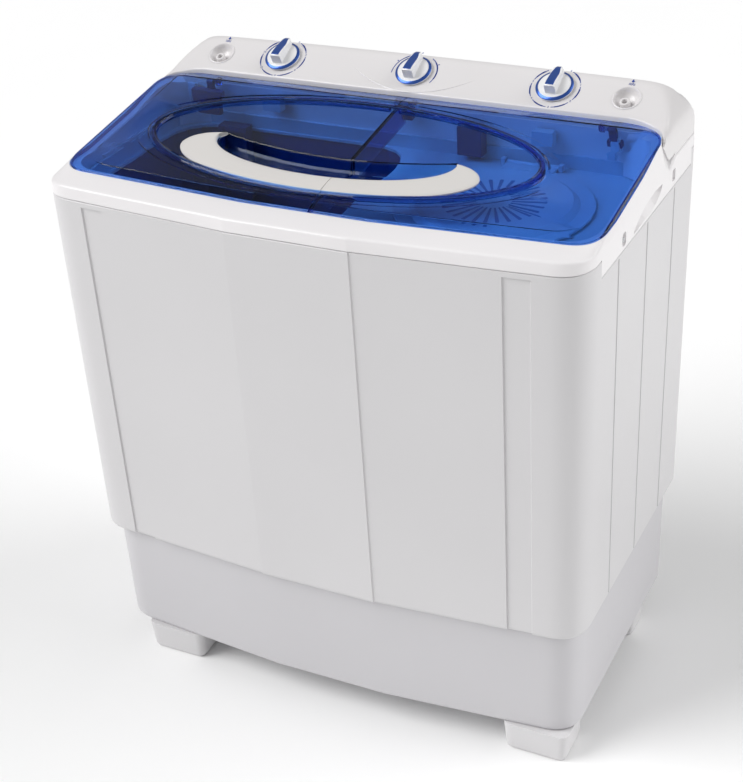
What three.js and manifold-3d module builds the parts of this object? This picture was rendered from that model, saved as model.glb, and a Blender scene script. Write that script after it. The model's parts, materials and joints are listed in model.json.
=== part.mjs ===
// Twin tub washer: a wash tub with a pulsator beside a spin tub, under two blue lids.
// Millimetres, +Z up, front towards -Y, origin on the floor under the middle of the machine.
import * as THREE from 'three';
import { mergeVertices } from 'three/addons/utils/BufferGeometryUtils.js';
import Module from 'manifold-3d';

const wasm = await Module();
wasm.setup();

// Driving dimensions
const HALF_WIDTH = 367;
const HALF_DEPTH = 228;
const FLAT_HALF = 85;
const BOW = 23;
const WALL = 3;
const BACK_LOW = 226;
const BACK_HIGH = 690;
const GAP = 0.4;
const FOOT_HEIGHT = 42;
const FOOT = { leftX: -266, rightX: 301, halfX: 46, frontY: -158, frontHalfY: 35, rearY: 121, rearHalfY: 29 };
const SKIRT_TOP = 213;
const SKIRT_INSET = 13;
const SKIRT_FRONT = 205;
const SEAM_FRONT = 733;
const SEAM_SIDE = 711;
const RIM_TOP = 752;
const RIM_ROUND = 12;
const LID_REAR_Y = 112;
const LID_REAR_Z = 794;
const LID_FRONT_Y = -177;
const LID_FRONT_Z = 751;
const LID_HALF = 364;
const OPENING_HALF = 353;
const LID_SPLIT = 8;
const LID_SKIN = 3;
const LID_CROWN = 6;
const LID_BEVEL = 26;
const CONSOLE_SLOPE = 28.3;
const CONSOLE_RUN = 78;
const CONSOLE_ROUND = 62;
const KNOB_X = 199.5;
const KNOB_UP = 44;
const KNOB_RADIUS = 25;
const INLET_X = 296.5;
const INLET_UP = 40;
const STRIP_X = 287;
const STRIP_WIDTH = 32;
const GROOVE_Y = [-88, 23, 135];
const COLLAR_Z = 716;
const WASH = { x: -162, y: -33, halfX: 184, halfY: 153, round: 70, floor: 258 };
const SPIN = { x: 187, y: -30, radius: 152, basket: 128, mouth: 118, floor: 268 };
const PULSATOR_RADIUS = 138;
const DRAIN = { x: -40, y: 85 };
const BELT_Z = 200;
const BIG_PULLEY = 72;
const SMALL_PULLEY = 24;
const WASH_MOTOR = { x: -272, y: 108, radius: 56 };
const BRAKE_RADIUS = 42;
const FLANGE = { front: -150, rear: 206 };
const TAPER = { x: 0.005, y: 0.038 };
const SKIRT_TAPER = { x: 0.002, y: 0.022 };
const FILTER = { x: -258, halfX: 22, front: 92, rear: 110, low: 620, high: 728 };
const SPOUT = { leftX: -196, rightX: 200, halfX: 14, front: 101, rear: 115, low: 754, high: 772 };
const SWITCH_BOX = { from: 84, to: 118, front: 96, rear: 115, low: 728, high: 768 };
const CAPACITOR = { x: -40, y: 150, radius: 22, low: 48, high: 130 };
const SIDE_SCREW = { y: -70, z: 724, radius: 3.4, length: 3.2 };
const PLATE_Z = 78;
const SPRING_LOW = 48;
const MOTOR_LOW = 60;
const MOTOR_TOP = 184;
const OUTLET = { x: -250, z: 245 };
const GLAND = { x: 250, z: 262 };

const LID_RISE = LID_REAR_Z - LID_FRONT_Z;
const LID_TILT = Math.atan2(LID_RISE, LID_REAR_Y - LID_FRONT_Y);
const LID_LENGTH = Math.hypot(LID_RISE, LID_REAR_Y - LID_FRONT_Y);
const SLOPE = THREE.MathUtils.degToRad(CONSOLE_SLOPE);
const CONSOLE_BACK = LID_REAR_Y + CONSOLE_RUN * Math.cos(SLOPE);
const CONSOLE_TOP = LID_REAR_Z + CONSOLE_RUN * Math.sin(SLOPE);
const X = new THREE.Vector3(1, 0, 0);
const Y = new THREE.Vector3(0, 1, 0);
const Z = new THREE.Vector3(0, 0, 1);

// A closed outline through [x, y, length of rounding] corners.
function rounded(corners) {
  const shape = new THREE.Shape();
  corners.forEach(([x, y, round = 0], i) => {
    const before = corners[(i + corners.length - 1) % corners.length];
    const after = corners[(i + 1) % corners.length];
    const start = stepTowards(x, y, before, round);
    if (i === 0) shape.moveTo(...start);
    else shape.lineTo(...start);
    if (round > 0) shape.quadraticCurveTo(x, y, ...stepTowards(x, y, after, round));
  });
  shape.closePath();
  return shape;
}

function stepTowards(x, y, [toX, toY], length) {
  const distance = Math.hypot(toX - x, toY - y);
  return [x + ((toX - x) * length) / distance, y + ((toY - y) * length) / distance];
}

function rectangle(halfX, halfY, round = 0, x = 0, y = 0) {
  return rounded([
    [x - halfX, y - halfY, round],
    [x + halfX, y - halfY, round],
    [x + halfX, y + halfY, round],
    [x - halfX, y + halfY, round],
  ]);
}

// The cabinet's plan: three front facets, round front corners, tight rear corners.
function plan(inset, round = 44) {
  const side = HALF_WIDTH - inset;
  const front = HALF_DEPTH - inset;
  return rounded([
    [-FLAT_HALF, -front],
    [FLAT_HALF, -front],
    [side, -front + BOW, round - inset / 2],
    [side, front, 14],
    [-side, front, 14],
    [-side, -front + BOW, round - inset / 2],
  ]);
}

function prism(shape, from, to, segments = 5) {
  const options = { depth: to - from, bevelEnabled: false, curveSegments: segments };
  return new THREE.ExtrudeGeometry(shape, options).translate(0, 0, from);
}

// An outline in (Y, Z) carried along X.
function alongX(shape, from, to, segments = 5) {
  const turn = new THREE.Matrix4().makeBasis(Y, Z, X);
  return prism(shape, from, to, segments).applyMatrix4(turn);
}

// An outline in (X, Z) carried along Y.
function alongY(shape, from, to, segments = 5) {
  const turn = new THREE.Matrix4().makeBasis(X, Z, Y.clone().negate());
  return prism(shape, -to, -from, segments).applyMatrix4(turn);
}

function box(x0, x1, y0, y1, z0, z1) {
  const geometry = new THREE.BoxGeometry(x1 - x0, y1 - y0, z1 - z0);
  return geometry.translate((x0 + x1) / 2, (y0 + y1) / 2, (z0 + z1) / 2);
}

// A turned piece about a vertical axis, from a profile of [radius, z].
function turned(profile, x = 0, y = 0, segments = 24) {
  const points = profile.map(([radius, z]) => new THREE.Vector2(radius, z));
  return new THREE.LatheGeometry(points, segments).rotateX(Math.PI / 2).translate(x, y, 0);
}

function cylinder(radius, z0, z1, x = 0, y = 0, segments = 24) {
  return turned([[0, z0], [radius, z0], [radius, z1], [0, z1]], x, y, segments);
}

function pipe(outer, inner, z0, z1, x = 0, y = 0, segments = 24) {
  const profile = [[inner, z0], [outer, z0], [outer, z1], [inner, z1], [inner, z0]];
  return turned(profile, x, y, segments);
}

function cylinderAlongX(radius, x0, x1, y, z, segments = 12) {
  const geometry = new THREE.CylinderGeometry(radius, radius, x1 - x0, segments);
  return geometry.rotateZ(Math.PI / 2).translate((x0 + x1) / 2, y, z);
}

function solid(geometry) {
  const bare = geometry.clone();
  bare.deleteAttribute('normal');
  bare.deleteAttribute('uv');
  const merged = mergeVertices(bare, 1e-4);
  return new wasm.Manifold(new wasm.Mesh({
    numProp: 3,
    vertProperties: new Float32Array(merged.attributes.position.array),
    triVerts: new Uint32Array(merged.index.array),
  }));
}

function shaped(manifold) {
  const { vertProperties, triVerts } = manifold.getMesh();
  const geometry = new THREE.BufferGeometry();
  geometry.setAttribute('position', new THREE.BufferAttribute(vertProperties, 3));
  geometry.setIndex(new THREE.BufferAttribute(triVerts, 1));
  return geometry;
}

function cut(base, ...tools) {
  return shaped(tools.reduce((sum, tool) => sum.subtract(solid(tool)), solid(base)));
}

function join(base, ...others) {
  return shaped(others.reduce((sum, other) => sum.add(solid(other)), solid(base)));
}

function common(base, ...others) {
  return shaped(others.reduce((sum, other) => sum.intersect(solid(other)), solid(base)));
}

// Draws the plan in towards the axis, from nothing at z = top to the full shares at z = bottom.
function taper(geometry, top, bottom, shareX, shareY) {
  const position = geometry.attributes.position;
  for (let i = 0; i < position.count; i++) {
    const t = THREE.MathUtils.clamp((top - position.getZ(i)) / (top - bottom), 0, 1);
    position.setX(i, position.getX(i) * (1 - shareX * t));
    position.setY(i, position.getY(i) * (1 - shareY * t));
  }
  return geometry;
}

const paint = (color, roughness = 0.4, metalness = 0, opacity = 1) =>
  new THREE.MeshStandardMaterial({ color, roughness, metalness, opacity, transparent: opacity < 1 });
const bodyPlastic = () => paint(0xe2e0e2, 0.35);
const deckPlastic = () => paint(0xeeecee, 0.3);
const tubPlastic = () => paint(0xdfe7ee, 0.35);
const lidPlastic = () => paint(0x1450b4, 0.08, 0, 0.6);
const gripPlastic = () => paint(0xe4ded6, 0.35);
const darkPlastic = () => paint(0x24345a, 0.5);
const steel = () => paint(0xb9bcc0, 0.35, 1);
const motorPaint = () => paint(0x5f6468, 0.5, 0.8);
const rubber = () => paint(0x1c1d1f, 0.85);

const washer = new THREE.Group();
const lidFrame = tilted(LID_TILT);
const consoleFrame = tilted(SLOPE);

// A group whose X axis is the rear edge of the lids, turned up about that edge.
function tilted(angle) {
  const group = new THREE.Group();
  group.position.set(0, LID_REAR_Y, LID_REAR_Z);
  group.rotation.x = angle;
  washer.add(group);
  return group;
}

function add(name, geometry, material, group = washer) {
  const mesh = new THREE.Mesh(geometry, material);
  mesh.name = name;
  group.add(mesh);
}

// ---- Base and cabinet ----

function skirtPlan(inset) {
  const side = HALF_WIDTH - SKIRT_INSET - inset;
  const front = SKIRT_FRONT - inset;
  return rounded([
    [-FLAT_HALF, -front - 4],
    [FLAT_HALF, -front - 4],
    [side, -front + BOW - 4, 40 - inset],
    [side, front + 4, 14],
    [-side, front + 4, 14],
    [-side, -front + BOW - 4, 40 - inset],
  ]);
}

function baseSkirt() {
  const shell = cut(
    prism(skirtPlan(0), FOOT_HEIGHT + GAP, SKIRT_TOP),
    prism(skirtPlan(WALL), FOOT_HEIGHT + 5, SKIRT_TOP + 1),
    prism(rectangle(70, 70, 20, WASH.x + 40, -60), FOOT_HEIGHT - 1, FOOT_HEIGHT + 6),
  );
  return taper(shell, SKIRT_TOP, FOOT_HEIGHT, SKIRT_TAPER.x, SKIRT_TAPER.y);
}

function foot(x, y, halfY) {
  const edge = 3;
  const shape = rectangle(FOOT.halfX - edge, halfY - edge, 8, x, y);
  const options = { bevelThickness: edge, bevelSize: edge, bevelSegments: 1, curveSegments: 3 };
  const block = new THREE.ExtrudeGeometry(shape, { depth: FOOT_HEIGHT, ...options });
  const room = box(x - 60, x + 60, y - 60, y + 60, 0, FOOT_HEIGHT);
  return common(block.translate(0, 0, edge), room);
}

function stripRecess(side) {
  const tool = box(-STRIP_WIDTH / 2, STRIP_WIDTH / 2, -2.4, 8, SKIRT_TOP - 2, SEAM_FRONT - 5);
  const lean = Math.atan2(BOW, HALF_WIDTH - FLAT_HALF);
  const y = -HALF_DEPTH + (STRIP_X - FLAT_HALF) * Math.tan(lean);
  return tool.rotateZ(Math.PI).rotateZ(side * lean).translate(side * STRIP_X, y, 0);
}

function sideGroove(side, y) {
  const x = side * HALF_WIDTH;
  return box(x - 2, x + 2, y - 2, y + 2, SKIRT_TOP - 2, SEAM_SIDE - 4);
}

function cabinetShell() {
  const sides = [-1, 1];
  const grooves = sides.flatMap((side) => GROOVE_Y.map((y) => sideGroove(side, y)));
  const notch = (side) => {
    const x = side * HALF_WIDTH;
    return box(x - 14, x + 14, FLANGE.front - GAP, FLANGE.rear + GAP, SEAM_SIDE, SEAM_FRONT + 20);
  };
  const window = box(-300, 300, HALF_DEPTH - 30, HALF_DEPTH + 10, BACK_LOW, BACK_HIGH);
  const shell = cut(
    prism(plan(0), SKIRT_TOP + GAP, SEAM_FRONT),
    prism(plan(WALL), SKIRT_TOP + 4, SEAM_FRONT + 1),
    prism(skirtPlan(WALL + 3), SKIRT_TOP - 1, SKIRT_TOP + 5),
    window,
    ...sides.map(stripRecess),
    ...sides.map(notch),
    ...grooves,
  );
  return taper(shell, SEAM_FRONT, SKIRT_TOP, TAPER.x, TAPER.y);
}

function backCover() {
  const slots = [];
  for (let i = 0; i < 7; i++) slots.push(box(-60, 60, 180, 240, 262 + i * 16, 268 + i * 16));
  const pipeHole = alongY(rectangle(14, 15, 9, OUTLET.x, OUTLET.z), 180, 240);
  const glandHole = alongY(rectangle(9 + GAP, 7 + GAP, 5, GLAND.x, GLAND.z), 180, 240);
  const panel = box(-300 + GAP, 300 - GAP, HALF_DEPTH - 3.5, HALF_DEPTH,
    BACK_LOW + GAP, BACK_HIGH - GAP);
  return taper(cut(panel, ...slots, pipeHole, glandHole), SEAM_FRONT, SKIRT_TOP, TAPER.x, TAPER.y);
}

// ---- Top deck ----

// The pins that the lids turn on, in the lid frame.
const PIN = { y: -9, z: -7, radius: 2.5 };

// Plan of the lids or of the opening under them, grown or shrunk all round.
function lidPlan(grow, front, rear, round = 48, half = OPENING_HALF) {
  const side = half + grow;
  const middle = front - grow;
  return rounded([
    [-FLAT_HALF, middle],
    [FLAT_HALF, middle],
    [side, middle + 16, round],
    [side, rear, round],
    [-side, rear, round],
    [-side, middle + 16, round],
  ]);
}

function lidTilted(geometry) {
  return geometry.rotateX(LID_TILT).translate(0, LID_REAR_Y, LID_REAR_Z);
}

// The side hand-hold, screw well and hose hook notch, cut in from the side face.
function sideRecesses(side) {
  const from = side > 0 ? HALF_WIDTH - 12 : -HALF_WIDTH - 5;
  const hold = new THREE.Shape();
  hold.moveTo(-32, 716);
  hold.quadraticCurveTo(0, 742, 86, 737);
  hold.quadraticCurveTo(76, 714, 40, 714);
  hold.quadraticCurveTo(-10, 712, -32, 716);
  const well = rectangle(7, 8, 6, -70, 725);
  const hook = rectangle(6, 7, 2, 128, 727);
  const shallow = side > 0 ? HALF_WIDTH - 4 : -HALF_WIDTH - 5;
  return [
    alongX(hold, from, from + 17, 6),
    alongX(well, shallow, shallow + 9, 4),
    alongX(hook, shallow, shallow + 9, 2),
  ];
}

// The solid block behind a hand-hold, or with a grow the room it needs.
function holdBlock(side, grow, bottom) {
  const x = side * (HALF_WIDTH - 11);
  const half = 7 + grow;
  return box(x - half, x + half, -50 - grow, 145 + grow, bottom, RIM_TOP - 6);
}

function topDeck() {
  const round = { bevelThickness: RIM_ROUND * 0.7, bevelSize: RIM_ROUND, bevelSegments: 3 };
  const depth = RIM_TOP - RIM_ROUND * 0.7 - SEAM_SIDE;
  const low = new THREE.ExtrudeGeometry(plan(RIM_ROUND), { depth, ...round, curveSegments: 5 });
  const lowBody = common(
    low.translate(0, 0, SEAM_SIDE),
    prism(plan(-5), SEAM_SIDE + GAP, RIM_TOP + 1),
  );
  const underLids = rounded([
    [LID_FRONT_Y - 8, LID_FRONT_Z - 12],
    [LID_FRONT_Y - 8, LID_FRONT_Z - 1.2],
    [LID_REAR_Y + 7, LID_REAR_Z + 1],
    [LID_REAR_Y + 7, RIM_TOP - 6],
  ]);
  const high = alongX(underLids, -HALF_WIDTH + RIM_ROUND, HALF_WIDTH - RIM_ROUND);
  const bosses = [-1, 1].map((side) => holdBlock(side, 0, SEAM_SIDE + GAP));
  const hollow = prism(plan(WALL + 1), SEAM_SIDE - 1, RIM_TOP - 8);
  const shell = cut(lowBody, hollow);
  const seat = lidTilted(prism(lidPlan(1, -LID_LENGTH, 8, 34, HALF_WIDTH + 2), -LID_SKIN - GAP, 60));
  const swing = box(-LID_HALF - 1, LID_HALF + 1, PIN.y - 8, 2.6, PIN.z - 13, -LID_SKIN);
  const frontStep = box(-400, 400, -260, FLANGE.front, SEAM_SIDE - 5, SEAM_FRONT + GAP);
  const rearStep = box(-400, 400, FLANGE.rear, 260, SEAM_SIDE - 5, SEAM_FRONT + GAP);
  return cut(
    join(shell, high, ...bosses),
    prism(lidPlan(-8, LID_FRONT_Y, LID_REAR_Y + 4), SEAM_SIDE - 1, 900),
    seat,
    lidTilted(swing),
    frontStep,
    rearStep,
    ...sideRecesses(1),
    ...sideRecesses(-1),
  );
}

// The floor around both tub mouths, with a wall up to the deck.
function tubCollar() {
  const plate = prism(plan(WALL + 4), COLLAR_Z, COLLAR_Z + 4);
  const wall = cut(
    prism(lidPlan(-4, LID_FRONT_Y, LID_REAR_Y + 8), COLLAR_Z + 1, RIM_TOP - 13.5),
    prism(lidPlan(-8, LID_FRONT_Y, LID_REAR_Y + 4), COLLAR_Z, RIM_TOP),
  );
  const washMouth = rectangle(WASH.halfX - 6, WASH.halfY - 6, WASH.round, WASH.x, WASH.y);
  const duct = box(-365, 365, LID_REAR_Y + 60, 260, COLLAR_Z - 1, COLLAR_Z + 6);
  return cut(
    join(plate, wall),
    prism(washMouth, COLLAR_Z - 1, COLLAR_Z + 5),
    cylinder(SPIN.mouth, COLLAR_Z - 1, COLLAR_Z + 5, SPIN.x, SPIN.y, 32),
    duct,
    holdBlock(1, GAP, COLLAR_Z - 1),
    holdBlock(-1, GAP, COLLAR_Z - 1),
  );
}

function consoleBody(inset) {
  const front = LID_REAR_Y + 7.5 + inset;
  const rise = (front - LID_REAR_Y) * Math.tan(SLOPE) - inset * 1.1;
  const bottom = inset > 0 ? RIM_TOP - 20 : RIM_TOP + GAP;
  const profile = rounded([
    [front, bottom],
    [front, LID_REAR_Z + rise, 2],
    [CONSOLE_BACK + 4 - inset, CONSOLE_TOP + 2 - inset * 1.1, 12],
    [214 - inset, 790 - inset, 26],
    [216 - inset, bottom],
  ].reverse());
  const side = HALF_WIDTH - 1 - inset;
  const face = rounded([
    [-side, RIM_TOP - 30],
    [side, RIM_TOP - 30],
    [side, CONSOLE_TOP - inset, CONSOLE_ROUND],
    [-side, CONSOLE_TOP - inset, CONSOLE_ROUND],
  ]);
  return common(alongX(profile, -400, 400, 5), alongY(face, 90, 240, 8));
}

function consoleHole(radius, x, up, deep = 20) {
  const hole = cylinder(radius, -deep, 10, x, up, 20);
  return hole.rotateX(SLOPE).translate(0, LID_REAR_Y, LID_REAR_Z);
}

function consoleHousing() {
  return cut(
    consoleBody(0),
    consoleBody(3),
    ...[-KNOB_X, 0, KNOB_X].map((x) => consoleHole(7, x, KNOB_UP)),
    ...[-INLET_X, INLET_X].map((x) => consoleHole(15.4, x, INLET_UP)),
  );
}

// ---- Lids, in the lid frame ----

const OVAL = { x: -20, y: -149, halfX: 271, halfY: 109 };
const GRIP = { x: -22, y: -160, halfX: 205, depth: 93, inner: 0.79, innerDepth: 62 };

function halfEllipse(halfX, depth, x, y) {
  const shape = new THREE.Shape();
  shape.moveTo(x - halfX, y);
  shape.absellipse(x, y, halfX, depth, Math.PI, 2 * Math.PI, false);
  shape.closePath();
  return shape;
}

function lidSkin(drop) {
  const outline = lidPlan(-LID_BEVEL, -LID_LENGTH, -LID_BEVEL - 0.5, 30, LID_HALF);
  const bevel = { bevelThickness: LID_CROWN, bevelSize: LID_BEVEL, bevelSegments: 1 };
  const body = new THREE.ExtrudeGeometry(outline, { depth: 8, ...bevel, curveSegments: 5 });
  return body.translate(0, 0, -8 - drop);
}

function ovalRidge() {
  const points = [];
  for (let i = 0; i < 40; i++) {
    const angle = (i / 40) * 2 * Math.PI;
    const x = OVAL.x + OVAL.halfX * Math.cos(angle);
    const y = OVAL.y + OVAL.halfY * Math.sin(angle);
    points.push(new THREE.Vector3(x, y, LID_CROWN - 0.5));
  }
  const path = new THREE.CatmullRomCurve3(points, true);
  const bead = new THREE.Shape();
  bead.absarc(0, 0, 3, 0, 2 * Math.PI, false);
  return new THREE.ExtrudeGeometry(bead, { steps: 40, extrudePath: path, curveSegments: 4 });
}

function fingerPocket(grow, bottom, top) {
  const halfX = GRIP.halfX * GRIP.inner + grow;
  const shape = halfEllipse(halfX, GRIP.innerDepth + grow, GRIP.x, GRIP.y + grow);
  return prism(shape, bottom, top, 10);
}

function lidHalf(from, to, lugs) {
  const crown = cut(
    lidSkin(0),
    lidSkin(LID_SKIN),
    box(-400, 400, -400, 100, -40, -LID_SKIN),
  );
  const tray = cut(fingerPocket(2, -16, LID_CROWN - 1), fingerPocket(0, -14, 30));
  const whole = cut(join(crown, tray, ovalRidge()), fingerPocket(0, -14, 30));
  const side = common(whole, box(from, to, -400, 50, -60, 60));
  const pieces = lugs.map(({ x, pin }) => {
    const lug = box(x - 5, x + 5, PIN.y - 5, PIN.y + 5, PIN.z - 3.5, 0);
    return join(lug, cylinderAlongX(PIN.radius, Math.min(x, pin), Math.max(x, pin), PIN.y, PIN.z));
  });
  return join(side, ...pieces);
}

function gripHalf(from, to) {
  const outer = prism(halfEllipse(GRIP.halfX, GRIP.depth, GRIP.x, GRIP.y), 6.4, 11, 12);
  const inner = fingerPocket(0.5, 0, 30);
  const behind = box(-300, 300, GRIP.y - 0.5, GRIP.y + 100, 0, 30);
  return common(cut(outer, inner, behind), box(from, to, -400, 50, 0, 60));
}

const LID_BLOCKS = [-292, LID_SPLIT, 292];

// Bracket that carries the lid pins, standing on a foot against the deck's rear wall.
function hingeBracket(x) {
  const eye = cylinderAlongX(4.2, x - 5, x + 5, PIN.y, PIN.z, 16);
  const stem = box(x - 5, x + 5, PIN.y - 4, PIN.y + 1, PIN.z - 18, PIN.z);
  const shelf = box(x - 9, x + 9, PIN.y - 4, PIN.y + 5, PIN.z - 20, PIN.z - 13);
  const bore = cylinderAlongX(PIN.radius + GAP, x - 9, x + 9, PIN.y, PIN.z);
  return cut(join(eye, stem, shelf), bore);
}

// ---- Console fittings, in the console frame ----

function knob(x) {
  const disc = turned([
    [0, 1], [KNOB_RADIUS, 1], [KNOB_RADIUS, 5], [KNOB_RADIUS - 4, 8], [0, 8],
  ], x, KNOB_UP, 24);
  const grip = new THREE.ExtrudeGeometry(
    rounded([[-8, -21, 4], [8, -21, 4], [6, 24, 5], [-6, 24, 5]]),
    { depth: 14, bevelThickness: 2, bevelSize: 1.5, bevelSegments: 1, curveSegments: 3 },
  ).translate(x, KNOB_UP, 6);
  return join(disc, grip, cylinder(3, -16, 2, x, KNOB_UP, 12));
}

function inletCup(x) {
  const funnel = turned([
    [8, -22], [11, -22], [14.8, -6], [14.8, 0.6], [19, 0.6], [18.6, 2], [13, 1.2], [12, -5], [8, -7],
    [8, -22],
  ], x, INLET_UP, 18);
  return funnel;
}

function controlBody(x, halfX, halfY, deep) {
  const body = box(x - halfX, x + halfX, KNOB_UP - halfY, KNOB_UP + halfY, -17 - deep, -17);
  const bush = pipe(6, 3.6, -17.5, -5, x, KNOB_UP, 16);
  return join(body, bush);
}

// ---- Wash side ----

function washTub() {
  const outer = rectangle(WASH.halfX, WASH.halfY, WASH.round + 4, WASH.x, WASH.y);
  const inner = rectangle(WASH.halfX - 3, WASH.halfY - 3, WASH.round, WASH.x, WASH.y);
  const shaftHole = cylinder(9, WASH.floor - 5, WASH.floor + 5, WASH.x, WASH.y);
  const drainHole = cylinder(12, WASH.floor - 5, WASH.floor + 5, DRAIN.x, DRAIN.y, 16);
  return cut(
    prism(outer, WASH.floor, COLLAR_Z - GAP),
    prism(inner, WASH.floor + 3, COLLAR_Z + 1),
    shaftHole,
    drainHole,
  );
}

function pulsator() {
  const dish = turned([
    [0, WASH.floor + 12], [50, WASH.floor + 12], [PULSATOR_RADIUS, WASH.floor + 10],
    [PULSATOR_RADIUS, WASH.floor + 16], [50, WASH.floor + 22], [24, WASH.floor + 38],
    [0, WASH.floor + 42],
  ], WASH.x, WASH.y, 32);
  const fins = [];
  for (let i = 0; i < 4; i++) {
    const fin = box(20, PULSATOR_RADIUS - 12, -5, 5, WASH.floor + 13, WASH.floor + 34);
    fins.push(fin.rotateZ((i * Math.PI) / 2 + 0.4).translate(WASH.x, WASH.y, 0));
  }
  return join(dish, ...fins);
}

function grooved(radius, z, x, y, bore) {
  return turned([
    [bore, z - 8], [radius, z - 8], [radius, z - 6], [radius - 7, z - 1], [radius - 7, z + 1],
    [radius, z + 6], [radius, z + 8], [bore, z + 8], [bore, z - 8],
  ], x, y, 24);
}

// The belt runs round both pulleys, clear of the bottom of their grooves.
function driveBelt() {
  const dx = WASH_MOTOR.x - WASH.x;
  const dy = WASH_MOTOR.y - WASH.y;
  const distance = Math.hypot(dx, dy);
  const loop = (extra) => {
    const big = BIG_PULLEY - 6.4 + extra;
    const small = SMALL_PULLEY - 6.4 + extra;
    const lean = Math.acos((big - small) / distance);
    const shape = new THREE.Shape();
    shape.absarc(0, 0, big, lean, 2 * Math.PI - lean, false);
    shape.absarc(distance, 0, small, -lean, lean, false);
    shape.closePath();
    return shape;
  };
  const ring = loop(5);
  ring.holes.push(loop(0));
  const belt = prism(ring, BELT_Z - 0.9, BELT_Z + 0.9, 10);
  return belt.rotateZ(Math.atan2(dy, dx)).translate(WASH.x, WASH.y, 0);
}

function motor(x, y, radius, z0, z1) {
  return turned([
    [0, z0], [radius - 10, z0], [radius - 2, z0 + 8], [radius, z0 + 9], [radius, z1 - 9],
    [radius - 2, z1 - 8], [radius - 10, z1], [9, z1], [9, z1 - 12], [0, z1 - 12],
  ], x, y, 20);
}

function gearbox() {
  const z = WASH.floor - GAP;
  return turned([
    [11, z - 42], [40, z - 42], [44, z - 38], [44, z - 8], [62, z - 4], [62, z], [11, z], [11, z - 42],
  ], WASH.x, WASH.y, 20);
}

// ---- Spin side ----

function spinOuterTub() {
  const tub = turned([
    [30, SPIN.floor], [SPIN.radius - 12, SPIN.floor], [SPIN.radius, SPIN.floor + 14],
    [SPIN.radius, COLLAR_Z - GAP], [SPIN.radius - 3, COLLAR_Z - GAP],
    [SPIN.radius - 3, SPIN.floor + 15], [SPIN.radius - 13, SPIN.floor + 3],
    [30, SPIN.floor + 3], [30, SPIN.floor],
  ], SPIN.x, SPIN.y, 32);
  return tub;
}

function bellows() {
  const profile = [[12, SPIN.floor - 22]];
  for (let i = 0; i < 3; i++) {
    profile.push([17, SPIN.floor - 22 + i * 7]);
    profile.push([25, SPIN.floor - 18.5 + i * 7]);
  }
  profile.push([29.5, SPIN.floor], [29.5, SPIN.floor + 3], [26, SPIN.floor + 3]);
  profile.push([22, SPIN.floor - 4], [12, SPIN.floor - 17], [12, SPIN.floor - 22]);
  return turned(profile, SPIN.x, SPIN.y, 16);
}

function spinBasket() {
  const z = SPIN.floor + 14;
  const top = COLLAR_Z - 10;
  const wall = SPIN.basket;
  return turned([
    [9, z], [wall - 10, z], [wall, z + 12], [wall, top - 14], [wall + 4, top - 10], [wall + 4, top],
    [wall - 10, top], [wall - 10, top - 4], [wall - 3, top - 8], [wall - 3, z + 12],
    [wall - 12, z + 3], [40, z + 3], [26, z + 50], [9, z + 60], [9, z],
  ], SPIN.x, SPIN.y, 32);
}

function pressDisc() {
  const z = COLLAR_Z - 42;
  const disc = turned([
    [0, z + 2], [22, z + 2], [26, z], [112, z], [112, z + 5], [108, z + 5], [106, z + 3],
    [26, z + 3], [22, z + 9], [0, z + 10],
  ], 0, 0, 32);
  const slots = [];
  for (let i = 0; i < 16; i++) {
    const slot = box(38, 92, -2.2, 2.2, z - 2, z + 6);
    slots.push(slot.rotateZ((i / 16) * 2 * Math.PI));
  }
  return cut(disc, ...slots).translate(SPIN.x, SPIN.y, 0);
}

const COVER = { radius: 125, z: COLLAR_Z + 5.5, hingeY: 104, hingeZ: COLLAR_Z + 9 };

function innerCover() {
  const pane = turned([
    [0, COVER.z + 6], [96, COVER.z + 6], [104, COVER.z], [COVER.radius, COVER.z],
    [COVER.radius, COVER.z + 3], [106, COVER.z + 3], [98, COVER.z + 9], [0, COVER.z + 9],
  ], SPIN.x, SPIN.y, 32);
  const tab = box(SPIN.x - 36, SPIN.x + 36, 84, COVER.hingeY, COVER.z, COVER.z + 4);
  const barrel = cylinderAlongX(3, SPIN.x - 36, SPIN.x + 36, COVER.hingeY, COVER.hingeZ);
  const neck = box(SPIN.x - 36, SPIN.x + 36, COVER.hingeY - 3, COVER.hingeY, COVER.z, COVER.hingeZ);
  const lift = box(SPIN.x - 26, SPIN.x + 26, SPIN.y - COVER.radius - 4, SPIN.y - 110,
    COVER.z, COVER.z + 4);
  return join(pane, tab, neck, barrel, lift);
}

function coverLug(x) {
  const plate = box(x - 3, x + 3, COVER.hingeY - 5, COVER.hingeY + 5, COLLAR_Z + 4 + GAP,
    COVER.hingeZ + 5);
  return plate;
}

function spinShaft() {
  const z = SPIN.floor + 14;
  return turned([
    [0, 186], [8, 186], [8, 196], [BRAKE_RADIUS, 196], [BRAKE_RADIUS, 222], [16, 222],
    [14, 240], [8, 242], [8, z + 56], [0, z + 56],
  ], SPIN.x, SPIN.y, 20);
}

function spinPlate() {
  const plate = turned([
    [0, PLATE_Z], [92, PLATE_Z], [92, PLATE_Z + 4], [0, PLATE_Z + 4],
  ], SPIN.x, SPIN.y, 30);
  return plate;
}

function spring(angle) {
  const x = SPIN.x + 74 * Math.cos(angle);
  const y = SPIN.y + 74 * Math.sin(angle);
  const profile = [[6, SPRING_LOW]];
  for (let i = 0; i < 4; i++) {
    profile.push([13, SPRING_LOW + 2 + i * 7]);
    profile.push([10.5, SPRING_LOW + 5.5 + i * 7]);
  }
  profile.push([6, PLATE_Z - GAP], [6, SPRING_LOW]);
  return turned(profile, x, y, 10);
}

const BRAKE = { x: SPIN.x + 62, y: SPIN.y + 40, z: 209 };

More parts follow.
